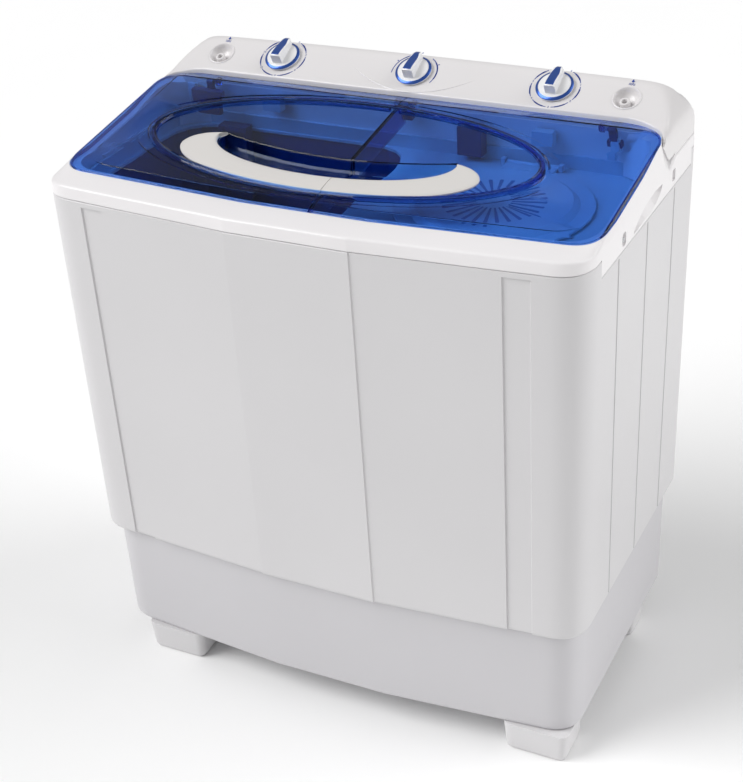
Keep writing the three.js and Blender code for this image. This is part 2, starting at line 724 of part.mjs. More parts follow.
function brakeLever() {
  const arm = box(-5, 5, -60, 8, BRAKE.z - 4, BRAKE.z + 4);
  const shoe = box(-17, -4, -52, -24, BRAKE.z - 9, BRAKE.z + 9);
  const eye = cylinder(9, BRAKE.z - 4, BRAKE.z + 4, 0, 0, 16);
  const lever = cut(join(arm, shoe, eye), cylinder(4.4, BRAKE.z - 9, BRAKE.z + 9, 0, 0, 12));
  return lever.translate(BRAKE.x, BRAKE.y, 0);
}

// ---- Water, drain and electrics ----

function drainValve() {
  const z = WASH.floor - GAP;
  const body = join(
    turned([[0, z - 40], [20, z - 40], [20, z - 6], [26, z - 6], [26, z], [0, z]], DRAIN.x, DRAIN.y, 20),
    cylinderAlongX(11, DRAIN.x - 52, DRAIN.x, DRAIN.y, z - 24, 16),
  );
  return cut(
    body,
    cylinder(14, z - 36, z + 1, DRAIN.x, DRAIN.y, 16),
    cylinderAlongX(8, DRAIN.x - 60, DRAIN.x, DRAIN.y, z - 24, 12),
  );
}

function drainStem() {
  const z = WASH.floor - 30;
  return turned([[0, z], [11, z], [11, z + 6], [4, z + 10], [4, z + 26], [0, z + 26]], DRAIN.x, DRAIN.y, 16);
}

function drainPipe() {
  const z = WASH.floor - GAP - 24;
  const path = new THREE.CatmullRomCurve3([
    new THREE.Vector3(DRAIN.x - 53, DRAIN.y, z),
    new THREE.Vector3(-150, DRAIN.y, z),
    new THREE.Vector3(-228, DRAIN.y + 50, z + 2),
    new THREE.Vector3(OUTLET.x, 185, OUTLET.z - 3),
    new THREE.Vector3(OUTLET.x, HALF_DEPTH - 1, OUTLET.z - 1),
  ]);
  const section = new THREE.Shape();
  section.absarc(0, 0, 11, 0, 2 * Math.PI, false);
  const bore = new THREE.Path();
  bore.absarc(0, 0, 8, 0, 2 * Math.PI, true);
  section.holes.push(bore);
  return new THREE.ExtrudeGeometry(section, { steps: 12, extrudePath: path, curveSegments: 5 });
}

function lintFilter() {
  const { x, halfX, front, rear, low, high } = FILTER;
  const frame = box(x - halfX, x + halfX, front, rear, low, high);
  const mouth = box(x - halfX + 4, x + halfX - 4, front - 12, rear - 6, low + 6, high - 8);
  return cut(frame, mouth);
}

function fillSpout(x) {
  const { halfX, front, rear, low, high } = SPOUT;
  const spout = box(x - halfX, x + halfX, front, rear, low, high);
  const inside = box(x - halfX + 3, x + halfX - 3, front + 3, rear - 3, low - 4, high - 3);
  return cut(spout, inside);
}

function switchBox() {
  const { from, to, front, rear, low, high } = SWITCH_BOX;
  return box(from, to, front, rear, low, high);
}

function capacitor() {
  const { x, y, radius, low, high } = CAPACITOR;
  return cylinder(radius, low, high, x, y, 20);
}

function cableGland() {
  return alongY(rectangle(9, 7, 5, GLAND.x * (1 - TAPER.x), GLAND.z), 214, 224);
}

function sideScrew(side) {
  const x = side * (HALF_WIDTH - 2);
  const half = SIDE_SCREW.length / 2;
  return cylinderAlongX(SIDE_SCREW.radius, x - half, x + half, SIDE_SCREW.y, SIDE_SCREW.z, 10);
}

// ---- Assembly ----

add('base_skirt', baseSkirt(), bodyPlastic());
add('foot_front_left', foot(FOOT.leftX, FOOT.frontY, FOOT.frontHalfY), bodyPlastic());
add('foot_front_right', foot(FOOT.rightX, FOOT.frontY, FOOT.frontHalfY), bodyPlastic());
add('foot_rear_left', foot(FOOT.leftX, FOOT.rearY, FOOT.rearHalfY), bodyPlastic());
add('foot_rear_right', foot(FOOT.rightX, FOOT.rearY, FOOT.rearHalfY), bodyPlastic());
add('cabinet_shell', cabinetShell(), bodyPlastic());
add('back_cover', backCover(), bodyPlastic());
add('top_deck', topDeck(), deckPlastic());
add('tub_collar', tubCollar(), tubPlastic());
add('console_housing', consoleHousing(), deckPlastic());

const washLugs = [{ x: -279, pin: -290 }, { x: LID_SPLIT - 12, pin: LID_SPLIT - 1 }];
const spinLugs = [{ x: LID_SPLIT + 12, pin: LID_SPLIT + 1 }, { x: 279, pin: 290 }];
add('wash_lid', lidHalf(-400, LID_SPLIT - 0.5, washLugs), lidPlastic(), lidFrame);
add('spin_lid', lidHalf(LID_SPLIT + 0.5, 400, spinLugs), lidPlastic(), lidFrame);
add('wash_lid_grip', gripHalf(-400, LID_SPLIT - 0.7), gripPlastic(), lidFrame);
add('spin_lid_grip', gripHalf(LID_SPLIT + 0.7, 400), gripPlastic(), lidFrame);
add('lid_bracket_left', hingeBracket(LID_BLOCKS[0]), darkPlastic(), lidFrame);
add('lid_bracket_middle', hingeBracket(LID_BLOCKS[1]), darkPlastic(), lidFrame);
add('lid_bracket_right', hingeBracket(LID_BLOCKS[2]), darkPlastic(), lidFrame);

add('wash_timer_knob', knob(-KNOB_X), gripPlastic(), consoleFrame);
add('selector_knob', knob(0), gripPlastic(), consoleFrame);
add('spin_timer_knob', knob(KNOB_X), gripPlastic(), consoleFrame);
add('wash_timer_body', controlBody(-KNOB_X, 27, 18, 26), darkPlastic(), consoleFrame);
add('selector_body', controlBody(0, 20, 14, 16), darkPlastic(), consoleFrame);
add('spin_timer_body', controlBody(KNOB_X, 25, 18, 24), darkPlastic(), consoleFrame);
add('water_inlet_left', inletCup(-INLET_X), deckPlastic(), consoleFrame);
add('water_inlet_right', inletCup(INLET_X), deckPlastic(), consoleFrame);

add('wash_tub', washTub(), tubPlastic());
add('pulsator', pulsator(), tubPlastic());
add('pulsator_shaft', cylinder(8, 184, WASH.floor + 11.6, WASH.x, WASH.y, 16), steel());
add('pulsator_pulley', grooved(BIG_PULLEY, BELT_Z, WASH.x, WASH.y, 8.4), motorPaint());
add('gearbox_housing', gearbox(), motorPaint());
add('drive_belt', driveBelt(), rubber());
add('wash_motor', motor(WASH_MOTOR.x, WASH_MOTOR.y, WASH_MOTOR.radius, MOTOR_LOW, MOTOR_TOP), motorPaint());
add('wash_motor_pulley', join(
  grooved(SMALL_PULLEY, BELT_Z, WASH_MOTOR.x, WASH_MOTOR.y, 6),
  cylinder(7, 173, BELT_Z + 8, WASH_MOTOR.x, WASH_MOTOR.y, 16),
), steel());

add('spin_outer_tub', spinOuterTub(), tubPlastic());
add('spin_bellows', bellows(), rubber());
add('spin_basket', spinBasket(), tubPlastic());
add('press_disc', pressDisc(), tubPlastic());
add('spin_inner_cover', innerCover(), tubPlastic());
add('cover_lug_left', coverLug(SPIN.x - 40), tubPlastic());
add('cover_lug_right', coverLug(SPIN.x + 40), tubPlastic());
add('spin_shaft', spinShaft(), steel());
add('spin_motor', motor(SPIN.x, SPIN.y, 62, PLATE_Z + 4 + GAP, MOTOR_TOP), motorPaint());
add('spin_motor_plate', spinPlate(), steel());
[0, 1, 2].forEach((i) => add(`spin_spring_${i + 1}`, spring((i * 2 * Math.PI) / 3), steel()));
add('brake_lever', brakeLever(), steel());
add('brake_pivot', cylinder(4, 160, 216, BRAKE.x, BRAKE.y, 12), steel());

add('drain_valve_body', drainValve(), darkPlastic());
add('drain_valve_stem', drainStem(), rubber());
add('drain_pipe', drainPipe(), bodyPlastic());
add('lint_filter', lintFilter(), darkPlastic());
add('wash_fill_spout', fillSpout(SPOUT.leftX), tubPlastic());
add('spin_fill_spout', fillSpout(SPOUT.rightX), tubPlastic());
add('lid_switch_box', switchBox(), darkPlastic());
add('capacitor', capacitor(), motorPaint());
add('cable_gland', cableGland(), rubber());
add('side_screw_left', sideScrew(-1), steel());
add('side_screw_right', sideScrew(1), steel());

export default washer;
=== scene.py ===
"""Twin tub washer: the visible model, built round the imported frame. Shapes are in millimetres."""
import json
import math
from collections import Counter, namedtuple

import bmesh
import bpy
from mathutils import Matrix, Vector


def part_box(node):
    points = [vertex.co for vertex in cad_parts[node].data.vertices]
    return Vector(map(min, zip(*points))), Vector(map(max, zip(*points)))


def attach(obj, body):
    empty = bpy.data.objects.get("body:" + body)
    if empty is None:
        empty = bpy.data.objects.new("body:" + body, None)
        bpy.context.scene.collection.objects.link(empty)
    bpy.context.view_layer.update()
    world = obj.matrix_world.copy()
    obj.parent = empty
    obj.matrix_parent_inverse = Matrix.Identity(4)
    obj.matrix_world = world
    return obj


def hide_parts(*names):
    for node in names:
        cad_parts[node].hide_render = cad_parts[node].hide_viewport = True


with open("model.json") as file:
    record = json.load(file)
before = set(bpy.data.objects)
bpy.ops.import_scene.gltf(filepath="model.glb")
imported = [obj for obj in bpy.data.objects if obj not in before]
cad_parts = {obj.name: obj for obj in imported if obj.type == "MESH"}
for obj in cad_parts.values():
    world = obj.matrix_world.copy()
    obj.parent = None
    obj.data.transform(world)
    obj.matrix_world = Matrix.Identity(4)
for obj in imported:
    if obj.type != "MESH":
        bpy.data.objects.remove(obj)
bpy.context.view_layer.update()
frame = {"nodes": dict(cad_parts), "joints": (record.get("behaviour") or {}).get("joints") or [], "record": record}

MM = 0.001


def corners(node):
    low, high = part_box(node)
    return low / MM, high / MM


def joint(name):
    return next(j for j in frame["joints"] if j["name"] == name)


def joint_place(name):
    return Vector(joint(name)["pos_m"]) / MM


# Sizes read or worked out from the frame
CABINET_LOW, CABINET_HIGH = corners("cabinet_shell")
DECK_LOW = corners("top_deck")[0]
SKIRT_LOW, SKIRT_HIGH = corners("base_skirt")
WINDOW_LOW, WINDOW_HIGH = corners("back_cover")
COLLAR_Z = corners("tub_collar")[0].z + 4
HALF_X = CABINET_HIGH.x
HALF_Y = -DECK_LOW.y
SEAM_FRONT = CABINET_HIGH.z
SEAM_SIDE = DECK_LOW.z

# Driving sizes of the visible shapes
GAP = 0.4
FLAT_HALF = 85
BOW = 23
WALL = 3
CORNER = 44
REAR_CORNER = 14
TAPER_X = 0.005
TAPER_Y = 0.038
STRIP = (271, 303, 2.2)
PANEL_STEP = 1.7
GROOVE_WIDTH = 3.4
GROOVE_DEPTH = 1.8
GROOVES = (-88, 23, 135)
GROOVE_TOP = SEAM_SIDE - 4
FLANGE_FRONT = -150
FLANGE_REAR = 206
DECK_REAR_Z = 751.4
SIDE_CREASE = 748
FRONT_CREASE = 751.6

LID_TILT = math.atan2(43, 289)
LID_LENGTH = math.hypot(43, 289)
LID_SIDE = 364
SIDE_DROP = 6
LID_SPLIT = 8
PIN_BEHIND = Vector((0, -9, -7))
LID_TURN = Matrix.Rotation(LID_TILT, 4, "X")
LID_ORIGIN = joint_place("wash_lid_hinge") * Vector((0, 1, 1)) - LID_TURN @ PIN_BEHIND
LID = Matrix.Translation(LID_ORIGIN) @ LID_TURN

KNOB_AXIS = Vector(joint("selector_turn")["axis"])
SLOPE = math.atan2(KNOB_AXIS.y, -KNOB_AXIS.z)
CONSOLE = Matrix.Translation(LID_ORIGIN) @ Matrix.Rotation(SLOPE, 4, "X")
CONSOLE_RUN = 78
CONSOLE_END = 62
KNOB_UP = (CONSOLE.inverted() @ joint_place("selector_turn")).y
KNOB_X = joint_place("spin_timer_turn").x
INLET_X = 296.5
INLET_UP = 40


# ---- Solids: a list of points and a list of faces ----

def loft(rings, closed=True, wrap=False):
    """Faces between rings of points. Closed joins each ring's ends, wrap the last ring to the first."""
    count = len(rings[0])
    points = [point for ring in rings for point in ring]
    faces = []
    for i in range(len(rings) if wrap else len(rings) - 1):
        here = i * count
        there = (i + 1) % len(rings) * count
        for j in range(count if closed else count - 1):
            k = (j + 1) % count
            faces.append((here + j, here + k, there + k, there + j))
    return points, faces


def bar(rings):
    """A solid through a row of closed rings, with a face over each end."""
    points, faces = loft(rings)
    count = len(rings[0])
    last = len(points) - count
    return points, faces + [tuple(range(count)), tuple(range(last, last + count))]


def together(*solids):
    points = []
    faces = []
    for some, their in solids:
        start = len(points)
        points += some
        faces += [tuple(start + i for i in face) for face in their]
    return points, faces


def moved(solid, matrix):
    return [tuple(matrix @ Vector(point)) for point in solid[0]], solid[1]


def at(x=0, y=0, z=0):
    return Matrix.Translation((x, y, z))


def circle(radius, z, steps):
    angles = [2 * math.pi * i / steps for i in range(steps)]
    return [(radius * math.cos(a), radius * math.sin(a), z) for a in angles]


def turned(profile, steps=64):
    """A solid of revolution round Z, from a profile that starts and ends on the axis or closes."""
    rings = [circle(radius, z, steps) for radius, z in profile]
    return loft(rings, wrap=profile[0][0] > 0)


def slab(outline, low, high, edge=0.0):
    """A flat plate with softened edges, from a plan outline."""
    middle = Vector((sum(p[0] for p in outline), sum(p[1] for p in outline))) / len(outline)

    def ring(inset, z):
        points = []
        for x, y in outline:
            inward = (middle - Vector((x, y))).normalized() * inset
            points.append((x + inward.x, y + inward.y, z))
        return points

    if edge == 0:
        return bar([ring(0, low), ring(0, high)])
    levels = [(edge, low), (0.3 * edge, low + 0.3 * edge), (0, low + edge)]
    levels += [(0, high - edge), (0.3 * edge, high - 0.3 * edge), (edge, high)]
    return bar([ring(inset, z) for inset, z in levels])


def bezier(start, control, end, steps):
    """Points on a rounded corner, with the first and the last."""
    a, b, c = Vector(start), Vector(control), Vector(end)
    shares = [i / steps for i in range(steps + 1)]
    return [a * (1 - t) ** 2 + b * (2 * t * (1 - t)) + c * t ** 2 for t in shares]


def rounded(corner_list, steps=6):
    """A closed outline through (x, y, length of rounding) corners."""
    outline = []
    for i, (x, y, length) in enumerate(corner_list):
        here = Vector((x, y))
        before = Vector(corner_list[i - 1][:2])
        after = Vector(corner_list[(i + 1) % len(corner_list)][:2])
        start = here + (before - here).normalized() * length
        end = here + (after - here).normalized() * length
        outline += bezier(start, here, end, steps) if length else [here]
    return [tuple(point) for point in outline]


def rectangle(half_x, half_y, length, x=0, y=0, steps=6):
    signs = ((-1, -1), (1, -1), (1, 1), (-1, 1))
    return rounded([(x + sx * half_x, y + sy * half_y, length) for sx, sy in signs], steps)


def rolled(radius):
    """Pairs for a rounded edge: the first falls from the radius to nothing, the second grows to it."""
    turns = [math.pi / 2 * i / 5 for i in range(6)]
    return [(radius * (1 - math.sin(turn)), radius * (1 - math.cos(turn))) for turn in turns]


def smooth_step(value, low, high):
    """From nothing at low to one at high, with soft ends."""
    share = min(1, max(0, (value - low) / (high - low)))
    return share * share * (3 - 2 * share)


# ---- Objects ----

def sheet_mesh(name, solid, matrix=None):
    """A mesh in metres from points in millimetres, welded, with its faces turned outwards."""
    points, faces = solid if matrix is None else moved(solid, matrix)
    mesh = bpy.data.meshes.new(name)
    mesh.from_pydata([Vector(point) * MM for point in points], [], faces)
    shape = bmesh.new()
    shape.from_mesh(mesh)
    bmesh.ops.remove_doubles(shape, verts=shape.verts, dist=1e-6)
    bmesh.ops.dissolve_degenerate(shape, edges=shape.edges, dist=1e-7)
    bmesh.ops.recalc_face_normals(shape, faces=shape.faces)
    shape.to_mesh(mesh)
    shape.free()
    return mesh


def placed(name, mesh):
    made = bpy.data.objects.new(name, mesh)
    bpy.context.scene.collection.objects.link(made)
    return made


def solid_object(name, solid, matrix=None):
    return placed(name, sheet_mesh(name, solid, matrix))


def soften(made, width, segments=2, angle=35):
    bevel = made.modifiers.new("edges", "BEVEL")
    bevel.width = width * MM
    bevel.segments = segments
    bevel.limit_method = "ANGLE"
    bevel.angle_limit = math.radians(angle)
    bevel.harden_normals = True


def bake(made):
    """Turns an object's modifiers into its mesh."""
    graph = bpy.context.evaluated_depsgraph_get()
    made.data = bpy.data.meshes.new_from_object(made.evaluated_get(graph))
    made.modifiers.clear()


def thicken(made, thickness):
    """Gives a sheet its wall, inwards, for good."""
    shell = made.modifiers.new("wall", "SOLIDIFY")
    shell.thickness = thickness * MM
    shell.offset = -1
    bake(made)


def keep_side(shape, side, cut):
    """Cuts a bmesh along a plane of constant X and keeps the part on one side."""
    everything = list(shape.verts) + list(shape.edges) + list(shape.faces)
    bmesh.ops.bisect_plane(
        shape, geom=everything, plane_co=(cut, 0, 0), plane_no=(-side, 0, 0), clear_outer=True,
    )


def carve(made, *cutters, operation="DIFFERENCE"):
    """Cuts solids out of an object, or joins them to it, for good."""
    tools = [solid_object("cutter", cutter) for cutter in cutters]
    for tool in tools:
        cut = made.modifiers.new("cut", "BOOLEAN")
        cut.operation = operation
        cut.solver = "EXACT"
        cut.object = tool
    bake(made)
    for tool in tools:
        bpy.data.objects.remove(tool)


def finish_piece(made, look, body="washer", replaces=(), bevel=0, sharp=32):
    """Shades a piece, gives it its material, and fixes it to its body."""
    material, slot = look
    made.data.materials.clear()
    made.data.materials.append(material)
    made.data.shade_smooth()
    made.data.set_sharp_from_angle(angle=math.radians(sharp))
    if bevel:
        soften(made, bevel)
    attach(made, body)
    if replaces:
        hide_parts(*replaces)
    return made


def piece(name, solid, look, matrix=None, **options):
    return finish_piece(solid_object(name, solid, matrix), look, **options)


# ---- Materials ----

def feed(tree, socket, value):
    """Links a socket to another one, or gives it a plain value."""
    if isinstance(value, bpy.types.NodeSocket):
        tree.links.new(value, socket)
    else:
        socket.default_value = value


def node(tree, kind, inputs=None, **values):
    """A shader node with its settings and its inputs."""
    made = tree.nodes.new(kind)
    for key, value in values.items():
        setattr(made, key, value)
    for key, value in (inputs or {}).items():
        feed(tree, made.inputs[key], value)
    return made


def noise(tree, place, scale, detail=3.0, stretch=None):
    if stretch:
        place = node(tree, "ShaderNodeMapping", {"Vector": place, "Scale": stretch}).outputs[0]
    inputs = {"Vector": place, "Scale": scale, "Detail": detail}
    return node(tree, "ShaderNodeTexNoise", inputs).outputs["Fac"]


def ramp(tree, value, low, high, out_low=0.0, out_high=1.0):
    inputs = {"Value": value, 1: low, 2: high, 3: out_low, 4: out_high}
    return node(tree, "ShaderNodeMapRange", inputs).outputs[0]


def tint(tree, share, first, second):
    """Mixes two colours, each a tuple or a socket."""
    inputs = {"Factor": share}
    for key, colour in (("A", first), ("B", second)):
        inputs[key] = (*colour, 1) if isinstance(colour, tuple) else colour
    return node(tree, "ShaderNodeMix", inputs, data_type="RGBA").outputs["Result"]


def times(tree, first, second, operation="MULTIPLY"):
    return node(tree, "ShaderNodeMath", {0: first, 1: second}, operation=operation).outputs[0]


def edges(tree):
    """One on edges and corners, nothing on flat surfaces."""
    rounded_normal = node(tree, "ShaderNodeBevel", {"Radius": 0.9 * MM}, samples=4).outputs[0]
    true_normal = node(tree, "ShaderNodeNewGeometry").outputs["Normal"]
    pair = {0: rounded_normal, 1: true_normal}
    likeness = node(tree, "ShaderNodeVectorMath", pair, operation="DOT_PRODUCT")
    return ramp(tree, likeness.outputs["Value"], 0.9, 0.6)


def new_material(name):
    """A material, its node tree, its shader and the place on the object that patterns follow."""
    made = bpy.data.materials.new(name)
    made.use_nodes = True
    tree = made.node_tree
    place = node(tree, "ShaderNodeTexCoord").outputs["Object"]
    return made, tree, tree.nodes["Principled BSDF"], place


def set_inputs(tree, shader, **values):
    """Feeds a shader's sockets, named with underscores for spaces."""
    for name, value in values.items():
        feed(tree, shader.inputs[name.replace("_", " ")], value)


def relief(tree, height, strength, distance):
    inputs = {"Strength": strength, "Distance": distance, "Height": height}
    return node(tree, "ShaderNodeBump", inputs).outputs[0]


def moulded(name, colour, roughness, grain=0.02, shade=0.03, coat=0.0, metallic=0.0, edge_wear_and_highlight=(1, 1, 1)):
    """Moulded plastic or painted metal: a cloudy tone, fine grain, edges lightened as rubbed wear and as painted
    highlight, and faint scuffs.
    """
    made, tree, shader, place = new_material(name)
    cloud = ramp(tree, noise(tree, place, 4.0, 1.0), 0.3, 0.7)
    darker = tuple(c * (1 - shade) for c in colour)
    tone = tint(tree, cloud, darker, colour)
    # Rubbed wear and painted highlight: edges and corners lightened towards the edge colour.
    tone = tint(tree, times(tree, edges(tree), 0.4), tone, edge_wear_and_highlight)
    scuff = noise(tree, place, 60.0, 3.0)
    rough = ramp(tree, scuff, 0.3, 0.7, roughness * 0.97, roughness * 1.04)
    fine = noise(tree, place, 900.0, 2.0)
    wave = noise(tree, place, 9.0, 1.0)
    height = times(tree, fine, times(tree, wave, 2.0), "ADD")
    bumps = relief(tree, height, grain, 0.0003)
    set_inputs(tree, shader, Base_Color=tone, Roughness=rough, Normal=bumps)
    set_inputs(tree, shader, Coat_Weight=coat, Coat_Roughness=0.08, Metallic=metallic, IOR=1.5)
    return made


def clear_blue(name, face, shade, depth, density):
    """Clear tinted plastic: lamp light passes straight through, and the colour deepens with thickness."""
    made, tree, shader, place = new_material(name)
    cloud = ramp(tree, noise(tree, place, 5.0, 3.0), 0.3, 0.7)
    tone = tint(tree, cloud, tuple(c * 0.94 for c in face), face)
    haze = noise(tree, place, 30.0, 5.0, stretch=(1, 4, 1))
    rough = ramp(tree, haze, 0.45, 0.8, 0.01, 0.045)
    ripple = relief(tree, noise(tree, place, 7.0, 1.0), 0.02, 0.002)
    set_inputs(tree, shader, Base_Color=tone, Roughness=rough, Normal=ripple)
    set_inputs(tree, shader, Transmission_Weight=1.0, IOR=1.28, Specular_IOR_Level=0.25)
    through = node(tree, "ShaderNodeBsdfTransparent", {"Color": (*shade, 1)})
    rays = node(tree, "ShaderNodeLightPath")
    pair = {0: rays.outputs["Is Shadow Ray"], 1: shader.outputs[0], 2: through.outputs[0]}
    both = node(tree, "ShaderNodeMixShader", pair)
    inside = node(tree, "ShaderNodeVolumeAbsorption", {"Color": (*depth, 1), "Density": density})
    set_inputs(tree, tree.nodes["Material Output"], Surface=both.outputs[0], Volume=inside.outputs[0])
    return made


def brushed_metal(name, colour, roughness):
    """Bright metal with fine lines drawn along it."""
    made, tree, shader, place = new_material(name)
    lines = noise(tree, place, 90.0, 4.0, stretch=(1, 1, 14))
    tone = tint(tree, lines, tuple(c * 0.75 for c in colour), colour)
    rough = ramp(tree, lines, 0.3, 0.7, roughness * 0.7, roughness * 1.4)
    bumps = relief(tree, lines, 0.06, 0.001)
    set_inputs(tree, shader, Base_Color=tone, Roughness=rough, Normal=bumps, Metallic=1.0)
    return made


BODY = (moulded("white_body", (0.67, 0.66, 0.67), 0.36), "body_plastic")
# The body's white plastic, darkened as painted shade for the recessed base skirt.
BASE_SHADED = (moulded("white_base_shaded", (0.6, 0.59, 0.61), 0.4), "body_plastic")
# One deck plastic in two tones: lighter on the deck as painted light, darker on the console as painted shade.
DECK_LIT = (moulded("white_deck_lit", (0.85, 0.83, 0.84), 0.3, coat=0.2, edge_wear_and_highlight=(0.9, 0.89, 0.89)), "deck_plastic")
HOOD_SHADED = (moulded("white_console_shaded", (0.75, 0.73, 0.735), 0.3, coat=0.2, edge_wear_and_highlight=(0.85, 0.84, 0.84)), "deck_plastic")
TUB = (moulded("pale_tub", (0.44, 0.62, 0.72), 0.32, shade=0.08, edge_wear_and_highlight=(0.75, 0.85, 0.95)), "tub_plastic")
RIM = (moulded("speckled_rim", (0.5, 0.66, 0.74), 0.4, shade=0.2, edge_wear_and_highlight=(0.5, 0.65, 0.8)), "tub_plastic")
# Painted shade: a dark blue for the bars that stand in for the shadowed openings of the vent slots.
VENT_SHADE = (moulded("vent_slot_shade", (0.09, 0.19, 0.36), 0.4, edge_wear_and_highlight=(0.2, 0.3, 0.5)), "tub_plastic")
GRIP = (moulded("warm_grip", (0.67, 0.65, 0.63), 0.34), "grip_white")
KNOB = (moulded("knob_white", (0.87, 0.87, 0.88), 0.24, coat=0.3), "grip_white")
NAVY = (moulded("navy_plastic", (0.015, 0.04, 0.16), 0.4, shade=0.3, edge_wear_and_highlight=(0.1, 0.16, 0.35)), "dark_plastic")
PRINT = (moulded("blue_print", (0.02, 0.055, 0.30), 0.4, edge_wear_and_highlight=(0.03, 0.08, 0.4)), "dark_plastic")
BLUE_METAL = (
    moulded("blue_metal", (0.03, 0.10, 0.42), 0.28, metallic=0.7, coat=0.4, edge_wear_and_highlight=(0.2, 0.3, 0.7)),
    "dark_plastic",
)
# Painted shade: the wash tub and pulsator, the same tub plastic as the spin tub, darkened to stand in for the
# shadow deep in the wash tub.
TUB_SHADOW = (moulded("wash_tub_painted_shade", (0.02, 0.06, 0.22), 0.4, shade=0.25, edge_wear_and_highlight=(0.2, 0.3, 0.5)), "tub_plastic")
STEEL = (brushed_metal("zinc_steel", (0.62, 0.63, 0.65), 0.32), "steel")
MOTOR = (moulded("motor_paint", (0.2, 0.21, 0.23), 0.45, grain=0.06), "motor_case")
RUBBER = (moulded("black_rubber", (0.02, 0.02, 0.022), 0.7, grain=0.1, edge_wear_and_highlight=(0.06, 0.06, 0.06)), "rubber")
LID_BLUE = (
    clear_blue("clear_blue", (0.78, 0.92, 1.0), (0.42, 0.68, 0.84), (0.2, 0.46, 0.82), 400.0),
    "lid_blue",
)


# ---- Cabinet plan: columns round the outside, front middle to the right and back again ----

Column = namedtuple("Column", "x y out drop cut station")

SLANT = math.atan2(BOW, HALF_X - FLAT_HALF)
FRONT_CORNER = Vector((HALF_X, -HALF_Y + BOW))
ARC_START = FRONT_CORNER - Vector((math.cos(SLANT), math.sin(SLANT))) * CORNER
ARC_END = FRONT_CORNER + Vector((0, CORNER))
EAR_Y = 100
EAR_END_Y = 132


def side_station(y):
    if y < EAR_Y:
        return 3 + (y - ARC_END.y) / (EAR_Y - ARC_END.y)
    if y < EAR_END_Y:
        return 4 + (y - EAR_Y) / (EAR_END_Y - EAR_Y)
    return 5 + (y - EAR_END_Y) / (HALF_Y - REAR_CORNER - EAR_END_Y)


def right_half(front_marks, side_marks, arc_steps=10):
    """Columns of the right half. A mark is (place along the side, standing drop, extra cut)."""
    columns = []
    for x, drop, cut in front_marks:
        past = max(0, x - FLAT_HALF)
        y = -HALF_Y + past * math.tan(SLANT)
        out = (math.sin(SLANT), -math.cos(SLANT)) if past else (0, -1)
        station = x / FLAT_HALF if not past else 1 + past / (ARC_START.x - FLAT_HALF)
        columns.append(Column(x, y, out, drop, cut, station))
    for i, point in enumerate(bezier(ARC_START, FRONT_CORNER, ARC_END, arc_steps)):
        turn = SLANT + (math.pi / 2 - SLANT) * i / arc_steps
        out = (math.sin(turn), -math.cos(turn))
        columns.append(Column(point.x, point.y, out, 0, 0, 2 + i / arc_steps))
    for y, drop, cut in side_marks:
        columns.append(Column(HALF_X, y, (1, 0), drop, cut, side_station(y)))
    rear = bezier((HALF_X, HALF_Y - REAR_CORNER), (HALF_X, HALF_Y), (HALF_X - REAR_CORNER, HALF_Y), 5)
    for i, point in enumerate(rear):
        turn = math.pi / 2 * i / 5
        columns.append(Column(point.x, point.y, (math.cos(turn), math.sin(turn)), 0, 0, 6 + i / 5))
    back_end = HALF_X - REAR_CORNER
    for x in (320, WINDOW_HIGH.x + GAP, 200, 100):
        columns.append(Column(x, HALF_Y, (0, 1), 0, 0, 8 - x / back_end))
    columns.append(Column(0, HALF_Y, (0, 1), 0, 0, 8))
    return columns


def whole_plan(right):
    """Adds the mirrored left half. Stations of the left half are negative."""
    left = [c._replace(x=-c.x, out=(-c.out[0], c.out[1]), station=-c.station) for c in right[1:-1]]
    return right + left[::-1]


def shifted(column, inset, z, taper=True):
    """A column's point, moved in by inset and narrowed as the cabinet tapers downwards."""
    x = column.x - column.out[0] * inset
    y = column.y - column.out[1] * inset
    share = (SEAM_FRONT - z) / (SEAM_FRONT - CABINET_LOW.z) if taper else 0
    return x * (1 - TAPER_X * share), y * (1 - TAPER_Y * share), z


def on_flange(column):
    """True where the deck's side flange comes down over the cabinet."""
    return abs(column.out[0]) == 1 and FLANGE_FRONT < column.y < FLANGE_REAR


# ---- Cabinet ----

def cabinet_marks():
    low, high, deep = STRIP
    step = PANEL_STEP
    front = [(0, 0, 0), (40, 0, 0), (FLAT_HALF - 0.6, 0, 0), (FLAT_HALF + 0.6, step, 0), (170, 0.6 * step, 0)]
    front += [(low - 1, 0.2 * step, 0), (low, 0.2 * step, deep)]
    front += [(high, 0, deep), (high + 1, 0, 0)]
    side = [(FLANGE_FRONT - 1, 0, 0), (FLANGE_FRONT - GAP, 0, 0), (FLANGE_FRONT + 0.1, 0, 0)]
    for y in GROOVES:
        half = GROOVE_WIDTH / 2
        side += [(y - half - 0.6, 0, 0), (y - half, 0, GROOVE_DEPTH)]
        side += [(y + half, 0, GROOVE_DEPTH), (y + half + 0.6, 0, 0)]
    side += [(FLANGE_REAR - 0.1, 0, 0), (FLANGE_REAR + GAP, 0, 0)]
    return front, side


